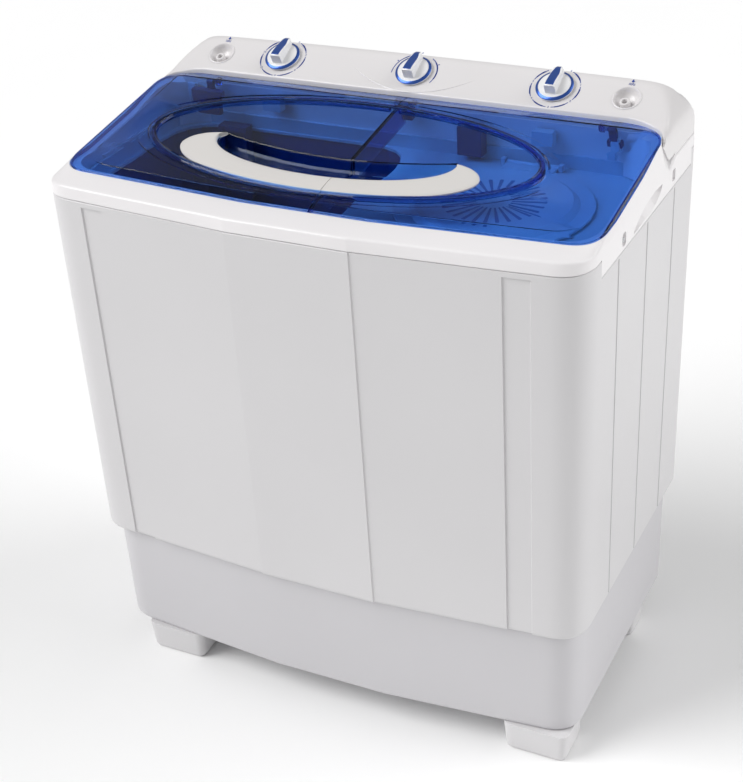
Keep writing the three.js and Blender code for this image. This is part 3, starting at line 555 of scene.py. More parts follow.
def cabinet_skin():
    columns = whole_plan(right_half(*cabinet_marks()))
    bottom = CABINET_LOW.z
    lip = 7

    def cut_top(c):
        return GROOVE_TOP if abs(c.out[0]) == 1 else SEAM_FRONT - 7

    def top(c):
        return SEAM_SIDE - GAP if on_flange(c) else SEAM_FRONT

    def ring(inset, height, cutting):
        return [shifted(c, inset + c.drop + cutting * c.cut, height(c)) for c in columns]

    outside = [ring(inset, lambda c, z=bottom + rise: z, 1) for rise, inset in rolled(lip)][::-1]
    outside[0] = ring(lip + 4, lambda c: bottom, 0)
    outside.append(ring(0, lambda c: WINDOW_LOW.z - GAP, 1))
    outside.append(ring(0, lambda c: WINDOW_HIGH.z + GAP, 1))
    outside.append(ring(0, lambda c: cut_top(c) - 1.2, 1))
    outside.append(ring(0, cut_top, 0))
    outside.append(ring(0, lambda c: top(c) - 1.2, 0))
    outside.append(ring(1.4, top, 0))
    inside = [
        ring(WALL, top, 0),
        ring(WALL, lambda c: WINDOW_HIGH.z + GAP, 0),
        ring(WALL, lambda c: WINDOW_LOW.z - GAP, 0),
        ring(lip + 4, lambda c: bottom + WALL, 0),
    ]
    rings = outside + inside
    points, faces = loft(rings, wrap=True)
    return points, without_window(points, faces, len(columns))


def without_window(points, faces, count):
    """Opens the back wall for the cover and closes the edge round the opening."""
    half = WINDOW_HIGH.x + 1
    low, high = WINDOW_LOW.z - 1, WINDOW_HIGH.z + 1

    def in_window(face):
        return all(
            abs(points[i][0]) < half and points[i][1] > HALF_Y / 2 and low < points[i][2] < high
            for i in face
        )

    kept = [face for face in faces if not in_window(face)]
    loose = [face for face in faces if in_window(face)]
    used = Counter(frozenset(pair) for face in loose for pair in zip(face, face[1:] + face[:1]))
    open_edges = [tuple(edge) for edge, times_used in used.items() if times_used == 1]
    # The outside rings below and above the window, each with its ring on the inside.
    rows = len(points) // count
    outer_rows = {7: rows - 2, 8: rows - 3}
    rim = []
    for a, b in open_edges:
        row_a, row_b = a // count, b // count
        if row_a in outer_rows and row_b in outer_rows:
            inner_a = outer_rows[row_a] * count + a % count
            inner_b = outer_rows[row_b] * count + b % count
            rim.append((a, b, inner_b, inner_a))
    return kept + rim


def skirt_plan(inset):
    side = SKIRT_HIGH.x - inset
    front = -SKIRT_LOW.y - inset
    rear = SKIRT_HIGH.y - inset
    return rounded([
        (FLAT_HALF, -front, 0), (side, -front + BOW, 42), (side, rear, REAR_CORNER),
        (-side, rear, REAR_CORNER), (-side, -front + BOW, 42), (-FLAT_HALF, -front, 0),
    ], 9)


def skirt_skin():
    """The recessed base, with a rolled lower edge and a floor."""
    low, high = SKIRT_LOW.z, SKIRT_HIGH.z
    roll = 9
    levels = [(roll + 2, low)] + [(inset, low + rise) for inset, rise in rolled(roll)]
    levels += [(0, high - 30), (0, high), (WALL, high), (WALL, low + roll), (roll + 2, low + WALL)]

    def ring(inset, z):
        share = (high - z) / (high - low)
        return [(x * (1 - 0.002 * share), y * (1 - 0.022 * share), z) for x, y in skirt_plan(inset)]

    rings = [ring(inset, z) for inset, z in levels]
    return bar(rings)


def foot(node_name):
    """A block foot with rounded corners, narrower at the sole."""
    low, high = corners(node_name)
    x, y = (low.x + high.x) / 2, (low.y + high.y) / 2
    half_x, half_y = (high.x - low.x) / 2, (high.y - low.y) / 2
    levels = [(9, 0), (6.5, 0.4), (4.2, 1.8), (2.9, 4), (2.4, 7), (1.2, 26), (0, high.z - 4), (0, high.z + 3)]
    rings = []
    for inset, z in levels:
        outline = rectangle(half_x - inset, half_y - inset, 13 - 0.5 * inset, x, y)
        rings.append([(px, py, z) for px, py in outline])
    return bar(rings)


# ---- Lid outline, in the lid frame ----

def lid_edge(station, grow=0.0):
    """The point of the lid's outline that goes with a station of the cabinet's plan."""
    s = abs(station)
    sign = -1 if station < 0 else 1
    side = LID_SIDE + grow
    front = -LID_LENGTH - grow
    rear = grow
    corner = Vector((side, front + 16))
    along = (Vector((FLAT_HALF, front)) - corner).normalized()
    first = corner + along * 38
    second = corner + Vector((0, 36))
    third = Vector((side, rear - 38))
    fourth = Vector((side - 58, rear))
    if s <= 1:
        point = Vector((FLAT_HALF * s, front))
    elif s <= 2:
        point = Vector((FLAT_HALF, front)).lerp(first, s - 1)
    elif s <= 3:
        point = bezier(first, corner, second, 1000)[round((s - 2) * 1000)]
    elif s <= 4:
        point = second.lerp(third, s - 3)
    elif s <= 5:
        point = bezier(third, (side - 4, rear - 2), fourth, 1000)[round((s - 4) * 1000)]
    else:
        point = fourth.lerp(Vector((0, rear)), (s - 5) / 3)
    return sign * point.x, point.y


def side_drop(y):
    """How far the lid's skirt and the rim under it hang below the lid plane along the sides."""
    return SIDE_DROP * smooth_step(y, -265, -205) * (1 - smooth_step(y, -120, -40))


# ---- Deck ----

def deck_marks():
    step = 0.9
    front = [(0, 0, 0), (45, 0, 0), (FLAT_HALF - 2.5, 0, 0), (FLAT_HALF, 0.5 * step, 0)]
    front += [(FLAT_HALF + 2.5, step, 0), (170, 0.5 * step, 0), (250, 0, 0)]
    side = [(FLANGE_FRONT - 1, 0, 0), (FLANGE_FRONT - 0.3, 0, 0), (FLANGE_FRONT + 0.1, 0, 0)]
    side += [(y, 0, 0) for y in range(-120, 200, 12)]
    side += [(FLANGE_REAR - 0.5, 0, 0), (FLANGE_REAR, 0, 0)]
    return front, side


def deck_section(column):
    """Points from the flange's foot, over the rim, down into the lids' opening and back."""
    station = column.station
    s = abs(station)
    rear = smooth_step(s, 4.35, 5.0)
    side = smooth_step(s, 2.0, 3.0)
    foot_z = SEAM_SIDE if on_flange(column) else SEAM_FRONT + GAP
    outer = Vector(shifted(column, column.drop, 0, taper=False))
    inner = Vector(shifted(column, column.drop + WALL, 0, taper=False))

    def by_lid(front_grow, front_z, rear_grow, rear_z):
        x, y = lid_edge(station, front_grow)
        y += (rear_grow - front_grow) * rear
        drop = side_drop(y) * smooth_step(s, 2.2, 3.0)
        return LID @ Vector((x, y, front_z - drop + (rear_z - front_z) * rear))

    rim = by_lid(0.9, 0.4, 4.8, -15)
    crease_z = min(SIDE_CREASE - 0.043 * max(0, outer.y - FLANGE_FRONT), rim.z - 1)
    crease_z += (FRONT_CREASE - crease_z) * (1 - side)
    crease_z += (DECK_REAR_Z - crease_z) * rear
    corner = Vector((outer.x, outer.y, crease_z))
    top = corner.lerp(Vector((rim.x, rim.y, DECK_REAR_Z)), 0.98)
    top = rim.lerp(top, rear)
    inward = top - corner
    soft = min(5 - 1.5 * side, inward.length * 0.9)
    shoulder = bezier(corner - Vector((0, 0, 5)), corner, corner + inward.normalized() * soft, 6)
    sole = (outer.x - column.out[0] * 1.4, outer.y - column.out[1] * 1.4, foot_z)
    ledge = by_lid(-10, -3.6, 3.0, -30)
    back = by_lid(-6.5, -7, 6.5, -34)
    opening = [top.lerp(corner, 0.02), rim, by_lid(0.5, -0.1, 3.8, -15), by_lid(0.4, -3.4, 3.6, -16), ledge]
    return [sole, (outer.x, outer.y, foot_z + 1.2)] + [tuple(p) for p in shoulder + opening] + [
        (ledge.x, ledge.y, COLLAR_Z + 1),
        (back.x, back.y, COLLAR_Z + 1),
        (back.x, back.y, min(back.z, DECK_REAR_Z - 6, crease_z - 8)),
        (inner.x, inner.y, crease_z - 8),
        (inner.x, inner.y, foot_z),
    ]


def hand_hold(side):
    """A crescent scoop: flush at its lower lip, deepest under its upper edge."""
    upper = bezier((-36, 716), (-4, 741), (80, 735), 10)
    lower = bezier((80, 735), (72, 714), (24, 714), 7)[1:]
    lower += bezier((24, 714), (-12, 713), (-36, 716), 6)[1:-1]
    outline = upper + lower
    face = side * (HALF_X + 2)
    floor = side * (HALF_X - 12)
    near = [(face, p.x, p.y) for p in outline]
    far = []
    for p in outline:
        share = (p.x + 36) / 116
        roof = 718 + 25 * math.sin(math.pi * min(1, share) * 0.78)
        far.append((floor, p.x * 0.9 + 3, roof - 0.25 * max(0, roof - p.y) - 2))
    return bar([near, far])


def side_block(side, outline, outside, inside):
    """A block across the deck's side wall, from a (y, z) outline."""
    return bar([[(side * (HALF_X + out), y, z) for y, z in outline] for out in (outside, inside)])


def recess_boss(side):
    """Solid plastic behind the side recesses, inside the deck's wall."""
    outline = [(-84, 712.5), (145, 712.5), (145, 734), (80, 738.5), (-84, 742)]
    return side_block(side, outline, -1.5, -16)


def side_pocket(side, y, z, half_y, half_z, length, deep):
    return side_block(side, rectangle(half_y, half_z, length, y, z, 4), 3, -deep)


def build_deck():
    columns = whole_plan(right_half(*deck_marks(), arc_steps=14))
    made = solid_object("deck", loft([deck_section(c) for c in columns], wrap=True))
    for side in (-1, 1):
        carve(made, recess_boss(side), operation="UNION")
        carve(
            made,
            hand_hold(side),
            side_pocket(side, -70, 725, 7, 9, 6, 3.5),
            side_pocket(side, 128, 727, 6, 8, 2, 5),
        )
    return finish_piece(made, DECK_LIT, replaces=["top_deck"], sharp=40)


# ---- Console ----

LIP_Y = LID_ORIGIN.y + 6.8
CONSOLE_SIDE = HALF_X - 0.6
CONSOLE_CAP = 770
CAP_BLEND = 9
BACK_Y = 216
CONSOLE_FLOOR = 752.4
CONSOLE_TIP = CONSOLE_SIDE - 0.4
FRONT_WALL = 16


def lid_plane(y):
    return LID_ORIGIN.z + (y - LID_ORIGIN.y) * math.tan(LID_TILT)


def soft_min(a, b):
    """The smaller of two heights, rounded where they meet."""
    near = max(CAP_BLEND - abs(a - b), 0) / CAP_BLEND
    return min(a, b) - near * near * CAP_BLEND / 4


def console_cap(x):
    """The height of the rounded end over a place along the console."""
    past = min(abs(x) - (CONSOLE_SIDE - CONSOLE_END), CONSOLE_END)
    return CONSOLE_CAP + math.sqrt(CONSOLE_END ** 2 - max(0, past) ** 2)


def console_columns():
    """(x, front y, foot of the front wall, height limit) from the middle to the right-hand foot."""
    columns = []
    for x in range(0, 301, 12):
        columns.append((x, LIP_Y, lid_plane(LIP_Y) - FRONT_WALL, console_cap(x)))
    for i in range(13):
        x, y = lid_edge(5 - i / 12, 1.2)
        point = LID @ Vector((x, y + 3 + 2.8 * (1 - i / 12), 0))
        columns.append((point.x, point.y, point.z - FRONT_WALL + 11 * i / 12, console_cap(point.x)))
    tip = columns[-1]
    end_cap = console_cap(CONSOLE_TIP)
    for i in range(1, 8):
        share = i / 7
        x = tip[0] + (CONSOLE_TIP - tip[0]) * math.sin(share * math.pi / 2)
        foot_z = tip[2] + (CONSOLE_FLOOR + 2 - tip[2]) * min(1, 1.7 * share)
        columns.append((x, tip[1] + (126 - tip[1]) * share, foot_z, max(end_cap, console_cap(x))))
    columns.append((CONSOLE_SIDE, 129, CONSOLE_FLOOR + 4, CONSOLE_FLOOR + 5))
    columns.append((CONSOLE_SIDE, 131, CONSOLE_FLOOR, CONSOLE_FLOOR + 0.3))
    return columns


def console_profile(x, front, foot_z, cap):
    """From the front wall's foot over the sloping face and the top, down the back."""
    run = CONSOLE_RUN - 5.5 * (x / HALF_X) ** 2
    crest = Vector((LID_ORIGIN.y + run * math.cos(SLOPE) + 4, LID_ORIGIN.z + run * math.sin(SLOPE) + 2))

    def face(y):
        return max(lid_plane(y), LID_ORIGIN.z + (y - LID_ORIGIN.y) * math.tan(SLOPE)) + 1.2

    start = crest - Vector((math.cos(SLOPE), math.sin(SLOPE))) * 12
    knee = Vector((BACK_Y - 2, 790))
    fall = (knee - crest).normalized()
    profile = [(front, foot_z), (front, face(front) - 1.5), (front + 0.5, face(front) - 0.4)]
    profile.append((front + 1.6, face(front + 1.6)))
    for i in range(1, 12):
        y = front + 1.6 + (start.x - front - 1.6) * i / 11
        profile.append((y, face(y)))
    profile += [tuple(p) for p in bezier(start, crest, crest + fall * 12, 6)[1:]]
    profile += [tuple(p) for p in bezier(knee - fall * 24, knee, (BACK_Y, 770), 6)]
    profile += [(BACK_Y, 761), (BACK_Y, CONSOLE_FLOOR)]
    return [(x, y, soft_min(z, cap) if z > foot_z else min(z, cap)) for y, z in profile]


def build_console():
    right = [console_profile(*column) for column in console_columns()]
    left = [[(-x, y, z) for x, y, z in ring] for ring in right[1:]]
    made = solid_object("console", loft(left[::-1] + right, closed=False))
    thicken(made, 3)
    for vertex in made.data.vertices:
        vertex.co.x = min(max(vertex.co.x, -CONSOLE_SIDE * MM), CONSOLE_SIDE * MM)

    def hole(x, up, radius):
        return moved(turned([(0, -20), (radius, -20), (radius, 12), (0, 12)], 40), CONSOLE @ at(x, up))

    holes = [hole(x, KNOB_UP, 7) for x in (-KNOB_X, 0, KNOB_X)]
    holes += [hole(x, INLET_UP, 17.5) for x in (-INLET_X, INLET_X)]
    carve(made, *holes)
    return finish_piece(made, HOOD_SHADED, replaces=["console_housing"], sharp=50)


def smile_ridge():
    """The raised curved line under the knobs."""
    rings = []
    for i in range(41):
        x = -97 + 194 * i / 40
        up = 10 + 0.00407 * x * x
        taper = max(0.05, 1 - abs(x / 97) ** 4)
        half, high = 2 * taper, 0.8 * taper + 1.1
        section = [(-half, 0.8), (-half, 1.1), (-half / 2, high), (half / 2, high), (half, 1.1), (half, 0.8)]
        rings.append([(x, up + across, z) for across, z in section])
    return bar(rings)


def inlet_dish():
    """A shallow bowl in the console with the water nozzle standing off its middle."""
    bowl = turned([
        (19.4, 1.3), (18.9, 1.9), (17.8, 2.1), (16.8, 1.4), (15.8, -1.5), (13.5, -5.5), (9, -8.6), (4, -9.8),
        (0.01, -10), (0.01, -12), (5, -12), (11, -10.4), (15.8, -6), (17.2, -1), (17.3, 1.0),
    ], 48)
    nozzle = turned([
        (3.5, -9), (3.5, -1.2), (4.0, -0.6), (5.6, -0.6), (6.4, -1.3), (6.8, -4), (7.4, -9),
    ], 32)
    return together(bowl, moved(nozzle, at(-2, -4)))


DIAL = 33
DIAL_STEP = 52
PRINT_HIGH = 0.25


def dash(radius, start, end, wide):
    """A thin printed arc; angles in degrees clockwise from the top."""
    steps = max(2, round((end - start) / 3))
    rings = []
    for i in range(steps + 1):
        turn = math.radians(start + (end - start) * i / steps)
        low, high = radius - wide, radius + wide
        section = ((low, 0), (low, PRINT_HIGH), (high, PRINT_HIGH), (high, 0))
        rings.append([(r * math.sin(turn), r * math.cos(turn), z) for r, z in section])
    return bar(rings)


def timer_scale():
    """Arcs of growing width round a timer knob, with gaps for the numbers."""
    marks = []
    for i in range(6):
        start = 28 + DIAL_STEP * i
        marks += [dash(DIAL, start, start + 40, 0.5), dash(DIAL, start + 8, start + 32, 0.9)]
    return together(*marks)


def selector_scale():
    marks = [dash(32, 34, 118, 0.5), dash(32, 50, 105, 0.9), dash(32, 262, 338, 0.5)]
    marks += [dash(34.5, turn - 1, turn + 1, 1.2) for turn in (-60, 0, 60)]
    return together(*marks)


def water_icon():
    """A generic tap mark: a drop over two waves."""
    turns = [math.radians(20 - 22 * i) for i in range(11)]
    drop = [(0, 5)] + [(1.7 * math.cos(a), 1.4 + 1.7 * math.sin(a)) for a in turns]
    drop_slab = slab(drop, 0, PRINT_HIGH)
    waves = []
    for up in (-2.5, -4.5):
        rings = []
        for i in range(17):
            x = -4 + 8 * i / 16
            y = up + 0.6 * math.sin(x * 1.6)
            low, high = y - 0.35, y + 0.35
            rings.append([(x, low, 0), (x, low, PRINT_HIGH), (x, high, PRINT_HIGH), (x, high, 0)])
        waves.append(bar(rings))
    return together(drop_slab, *waves)


def numbers_mesh(name, texts, x):
    """Small dial numbers round a knob, as thin solid letters."""
    shape = bmesh.new()
    for text, turn in texts:
        curve = bpy.data.curves.new("number", "FONT")
        curve.body = text
        curve.size = 4.4 * MM
        curve.align_x = "CENTER"
        curve.align_y = "CENTER"
        curve.extrude = 0.1 * MM
        curve.resolution_u = 3
        made = placed("number", curve)
        mesh = bpy.data.meshes.new_from_object(made.evaluated_get(bpy.context.evaluated_depsgraph_get()))
        angle = math.radians(turn)
        place = at(x + DIAL * math.sin(angle), KNOB_UP + DIAL * math.cos(angle), FACE_UP + 0.15)
        full = Matrix.Scale(MM, 4) @ CONSOLE @ place @ Matrix.Scale(1 / MM, 4)
        mesh.transform(full)
        shape.from_mesh(mesh)
        bpy.data.objects.remove(made)
    mesh = bpy.data.meshes.new(name)
    shape.to_mesh(mesh)
    shape.free()
    return placed(name, mesh)


FACE_UP = 1.2 * math.cos(SLOPE)


def build_prints():
    scales = {"wash_timer": timer_scale(), "selector": selector_scale(), "spin_timer": timer_scale()}
    for (name, scale), x in zip(scales.items(), (-KNOB_X, 0, KNOB_X)):
        piece(name + "_scale", scale, PRINT, CONSOLE @ at(x, KNOB_UP, FACE_UP))
    wash = [(str(3 * i), 22 + DIAL_STEP * i) for i in range(7)]
    spin = [(str(i), 22 + DIAL_STEP * i) for i in range(6)]
    finish_piece(numbers_mesh("wash_timer_numbers", wash, -KNOB_X), PRINT)
    finish_piece(numbers_mesh("spin_timer_numbers", spin, KNOB_X), PRINT)
    for name, x in (("left", -INLET_X), ("right", INLET_X)):
        piece("water_mark_" + name, water_icon(), PRINT, CONSOLE @ at(x, INLET_UP + 27, FACE_UP))
        dish = CONSOLE @ at(x, INLET_UP)
        piece("inlet_dish_" + name, inlet_dish(), HOOD_SHADED, dish, replaces=["water_inlet_" + name], sharp=40)
    piece("console_ridge", smile_ridge(), HOOD_SHADED, CONSOLE @ at(0, 0, FACE_UP - 1.2), sharp=50)


# ---- Knobs ----

def knob_disc():
    return turned([
        (0.01, 1.8), (23.6, 1.8), (24.8, 2.6), (25, 3.6), (24.4, 5.0), (22.6, 6.2),
        (20.6, 6.9), (12, 7.8), (0.01, 8.2),
    ], 72)


def knob_ring():
    return turned([(21.8, 5.8), (24.5, 4.2), (25.0, 4.4), (24.9, 5.3), (23.2, 6.7), (21.6, 7.2)], 72)


def wedge_top(y):
    """The height of the sloping top, and how far the end has begun."""
    tip = smooth_step(y, 19, 27)
    return 23 - 7 * smooth_step(y, -16, 24) - 3 * tip, tip


def wedge():
    """The finger grip: a block with a sloping top, rounded at its far end."""
    rings = []
    for i in range(15):
        y = -16 + 43 * i / 14
        top, tip = wedge_top(y)
        half = (7.4 - 2.8 * tip) * math.sqrt(max(0.02, 1 - (max(0, y - 20) / 7.4) ** 2 * 0.8))
        if y < -14.5:
            top -= 1.2
        rings.append([
            (-half, y, 6), (-half, y, top - 2), (-half * 0.93, y, top - 0.7), (-half * 0.75, y, top),
            (half * 0.75, y, top), (half * 0.93, y, top - 0.7), (half, y, top - 2), (half, y, 6),
        ])
    return bar(rings)


def wedge_inlay():
    """The blue strip let into the top of the grip."""
    rings = []
    for i in range(13):
        y = -14 + 38.5 * i / 12
        top = wedge_top(y)[0]
        half = 5.6 - 2.6 * smooth_step(y, 8, 25)
        rings.append([(-half, y, top - 1), (-half, y, top + 0.5), (half, y, top + 0.5), (half, y, top - 1)])
    return bar(rings)


def build_knob(name, x):
    place = CONSOLE @ at(x, KNOB_UP)
    stem = turned([(0.01, -15), (2.9, -15), (2.9, 2.5), (0.01, 2.5)], 20)
    piece(name + "_disc", together(knob_disc(), stem), KNOB, place, body=name, replaces=[name], sharp=30)
    piece(name + "_ring", knob_ring(), BLUE_METAL, place, body=name, sharp=30)
    piece(name + "_grip", wedge(), KNOB, place, body=name, bevel=0.6)
    piece(name + "_inlay", wedge_inlay(), BLUE_METAL, place, body=name, bevel=0.3)


# ---- Lids, in the lid frame ----

OVAL = Vector((-20, -149))
RIDGE = (271, 108.6)
POCKET = Vector((-22, -160))
POCKET_X = 168
POCKET_Y = 62
BEVEL_RIGHT = [(FLAT_HALF, -277, 0), (338, -262, 36), (337, -19, 5)]
BEVEL_LINE = rounded(BEVEL_RIGHT + [(-x, y, length) for x, y, length in BEVEL_RIGHT[::-1]], 8)
POCKET_FLOOR = -12
SPOKES = 240


def lid_outline(grow):
    """The whole lid's outline, starting in the middle of the front edge."""
    right = [Vector(lid_edge(i / 10, grow)) for i in range(81)]
    left = [Vector((-p.x, p.y)) for p in right[1:-1]]
    return right + left[::-1]


def spoke(turn):
    """The angle of a spoke from the oval's centre, so that spokes are even along the oval."""
    return math.atan2(109 * math.sin(turn), 271 * math.cos(turn))


def cast(outline, angle):
    """Where the spoke at that angle from the oval's centre leaves a closed outline."""
    direction = Vector((math.cos(angle), math.sin(angle)))
    side = Vector((-direction.y, direction.x))
    best = None
    for a, b in zip(outline, outline[1:] + outline[:1]):
        first, second = Vector(a) - OVAL, Vector(b) - OVAL
        one, two = first.dot(side), second.dot(side)
        if (one > 0) == (two > 0):
            continue
        point = first + (second - first) * (one / (one - two))
        if point.dot(direction) > 0 and (best is None or point.length > best.length):
            best = point
    return OVAL + best


def oval_ring(half_x, half_y, angle, limit):
    """A point of an ellipse round the oval's centre, kept inside a limit."""
    reach = 1 / math.hypot(math.cos(angle) / half_x, math.sin(angle) / half_y)
    return OVAL + Vector((math.cos(angle), math.sin(angle))) * min(reach, (limit - OVAL).length)


def lid_rings():
    """Rings from the skirt of the lid inwards to the flat middle."""
    angles = [spoke(2 * math.pi * i / SPOKES) for i in range(SPOKES)]
    rings = []
    for grow, z, hanging in ((-0.6, -2.8, 1), (-0.3, -0.4, 0), (-0.5, 1.0, 0), (-1.3, 1.8, 0)):
        outline = lid_outline(grow)
        ring = [cast(outline, a) for a in angles]
        rings.append([(p.x, p.y, z - hanging * side_drop(p.y) * (abs(p.x) > 300)) for p in ring])
    bevel = [cast(BEVEL_LINE, a) for a in angles]
    rings.append([(*(p - (OVAL - p).normalized() * 0.8), 5.4) for p in bevel])
    rings.append([(*(p + (OVAL - p).normalized() * 0.8), 6.0) for p in bevel])
    steps = ((297, 123.5, 6.0), (294, 121.5, 5.0), (280, 115, 5.0), (278.5, 113.6, 7.6), (275.5, 111.4, 9.4),
             (*RIDGE, 9.8), (267, 105.6, 8.4), (264.5, 103.6, 4.6))
    for half_x, half_y, z in steps:
        inset = 2 + (296 - half_x) * 0.12
        ring = []
        for a, p in zip(angles, bevel):
            limit = p + (OVAL - p).normalized() * inset
            ring.append((*oval_ring(half_x, half_y, a, limit), z))
        rings.append(ring)
    return rings


def ridge_core(side):
    """The solid rib under the oval ridge of one lid, which makes the ridge a deep blue."""
    rings = []
    for i in range(SPOKES + 1):
        angle = spoke(2 * math.pi * i / SPOKES + (math.pi if side > 0 else 0))
        limit = cast(BEVEL_LINE, angle)
        limit += (OVAL - limit).normalized() * 7
        point = oval_ring(*RIDGE, angle, limit)
        if side * (point.x - LID_SPLIT) < 1:
            continue
        out = (point - OVAL).normalized()
        ring = []
        for along, z in ((-2.1, -0.6), (-2.4, 5.4), (-1.2, 6.6), (1.2, 6.6), (2.4, 5.4), (2.1, -0.6)):
            ring.append((point.x + out.x * along, point.y + out.y * along, z))
        rings.append(ring)
    return bar(rings)


def pocket_point(grow, turn):
    """A point of the half-oval in front of the pocket."""
    across, along = (POCKET_X + grow) * math.cos(turn), (POCKET_Y + grow) * math.sin(turn)
    return POCKET.x + across, POCKET.y + along


def pocket_outline(grow=0.0):
    """The finger pocket: a curved rear edge and a half-oval front, from its left end."""
    rear = []
    for i in range(25):
        x = -187 - grow + (330 + 2 * grow) * i / 24
        rear.append((x, -173 + 25 * ((x + 22) / 165) ** 2 + grow))
    front = []
    for i in range(1, 48):
        turn = -math.pi * i / 48
        front.append(pocket_point(grow, turn))
    return rear + front


def lid_sheet():
    """The whole lid's upper surface with the pocket sunk in it, as one mesh."""
    sheet = loft(lid_rings()[::-1])
    middle = list(range(SPOKES))
    levels = [(0, 4.5), (-1.2, 3.4), (-2.4, 0), (-5, POCKET_FLOOR + 3), (-8, POCKET_FLOOR)]
    pocket = [[(x, y, z) for x, y in pocket_outline(grow)] for grow, z in levels]
    start = len(sheet[0])
    points, faces = together(sheet, loft(pocket))
    count = len(pocket[0])
    last = len(points) - count
    shape = bmesh.new()
    verts = [shape.verts.new(Vector(p)) for p in points]
    for face in faces:
        shape.faces.new([verts[i] for i in face])
    hole = list(range(start, start + count))
    loops = [(middle, hole), (list(range(last, last + count)),)]
    for group in loops:
        edges = []
        for loop in group:
            for a, b in zip(loop, loop[1:] + loop[:1]):
                edge = shape.edges.get((verts[a], verts[b])) or shape.edges.new((verts[a], verts[b]))
                edges.append(edge)
        bmesh.ops.triangle_fill(shape, edges=edges, use_beauty=True)
    bmesh.ops.recalc_face_normals(shape, faces=shape.faces)
    return shape


def build_lid(name, side):
    """One lid: the sheet cut at the split, with its wall and hinge lugs."""
    shape = lid_sheet()
    keep_side(shape, side, LID_SPLIT + side * 0.5)
    shape.transform(Matrix.Scale(MM, 4) @ LID)
    mesh = bpy.data.meshes.new(name + "_shell")
    shape.to_mesh(mesh)
    shape.free()
    made = placed(name + "_shell", mesh)
    if sum(polygon.normal.z for polygon in mesh.polygons) < 0:
        mesh.flip_normals()
    thicken(made, 2.6)
    finish_piece(made, LID_BLUE, body=name, replaces=[name], bevel=0.4, sharp=22)
    piece(name + "_split_wall", split_wall(side), LID_BLUE, LID, body=name, bevel=0.3)
    piece(name + "_ridge_core", ridge_core(side), LID_BLUE, LID, body=name, sharp=60)
    for tag, pin_end, step in (("outer", 290 * side, -side), ("inner", LID_SPLIT + side, side)):
        lug = hinge_lug(pin_end, pin_end + step * 11)
        piece(f"{name}_lug_{tag}", lug, LID_BLUE, LID, body=name, bevel=0.3)


def split_wall(side):
    """The rib that hangs under the lid along the split, ending before the middle bracket."""
    near = LID_SPLIT + side * 0.5
    far = near + side * 2.4
    rings = []
    for i in range(61):
        y = -LID_LENGTH + 2 + (LID_LENGTH - 2 - 20) * i / 60
        in_pocket = -224 < y < -170
        top = POCKET_FLOOR - 2.7 if in_pocket else min(2.2, -1.2 + (y + LID_LENGTH) * 0.2)
        low = top - 9 if y < -LID_LENGTH + 17 else -24 - 0.012 * (y + LID_LENGTH)
        rings.append([(near, y, top), (far, y, top), (far, y, low), (near, y, low)])
    return bar(rings)


def hinge_lug(pin_end, x):
    """A lug under the lid's rear edge with the pin that turns in a bracket."""
    y, z = PIN_BEHIND.y, PIN_BEHIND.z
    outline = [(y - 5, -1.5), (y + 5, -1.5), (y + 5, z), (y + 3.5, z - 3.5), (y - 3.5, z - 3.5), (y - 5, z)]
    plate = bar([[(x + shift, p, q) for p, q in outline] for shift in (-3, 3)])
    turns = [math.pi * i / 8 for i in range(16)]
    pin = []
    for end in (pin_end, x):
        pin.append([(end, y + 2.4 * math.cos(a), z + 2.4 * math.sin(a)) for a in turns])
    return together(plate, bar(pin))


def grip_sheet():
    """Cross-sections of the white crescent from its left tip to its right tip."""
    outer = bezier((-180, -154), (-226, -160), (-230, -186), 10)
    for i in range(1, 60):
        turn = math.pi + math.pi * i / 60
        outer.append(Vector((POCKET.x + 208 * math.cos(turn), -186 + 72 * math.sin(turn))))
    outer += bezier((186, -186), (182, -162), (145, -156), 10)
    count = len(outer)
    sections = []
    for i, edge in enumerate(outer):
        turn = math.pi + math.pi * i / (count - 1)
        inner = Vector(pocket_point(0.5, turn))
        wide = (edge - inner).length
        crown = min(1.6, wide * 0.08)
        ring = [(*edge, 5.0), (*edge, 7.0)]
        for share in (0.04, 0.12, 0.25, 0.4, 0.6, 0.75, 0.88, 0.96):
            point = edge.lerp(inner, share)
            arch = 1 - (2 * share - 1) ** 2
            ring.append((*point, 7.6 + min(1, arch * 3) * 0.8 + crown * arch))
        ring += [(*inner, 7.0), (*inner, 3.0)]
        sections.append(ring)
    return sections


def build_grip(name, body, side):
    mesh = sheet_mesh(name, bar(grip_sheet()))
    shape = bmesh.new()
    shape.from_mesh(mesh)
    keep_side(shape, side, (LID_SPLIT - 1 + side * 0.5) * MM)
    bmesh.ops.holes_fill(shape, edges=[e for e in shape.edges if e.is_boundary])
    shape.transform(Matrix.Scale(MM, 4) @ LID @ Matrix.Scale(1 / MM, 4))
    shape.to_mesh(mesh)
    shape.free()
    replaced = [name.replace("_top", "")]
    finish_piece(placed(name, mesh), GRIP, body=body, replaces=replaced, bevel=0.5, sharp=30)


# ---- Seen through the lids ----

SPIN_AXIS = joint_place("spin_basket_spin")
COVER_TOP = corners("spin_inner_cover")[1].z
VENTS = 28
RIB_Y = SPIN_AXIS.y + 136


def vent_slots():
    """Thin dark bars of painted shade standing in for the open slots of the inner cover, round a plain hub."""
    slots = []
    for i in range(VENTS):
        turn = 2 * math.pi * i / VENTS
        outline = rounded([(22, -1.2, 1), (66, -2.6, 2), (66, 2.6, 2), (22, 1.2, 1)], 3)
        slots.append(moved(slab(outline, -0.6, 0.25), Matrix.Rotation(turn, 4, "Z")))
    return together(*slots)


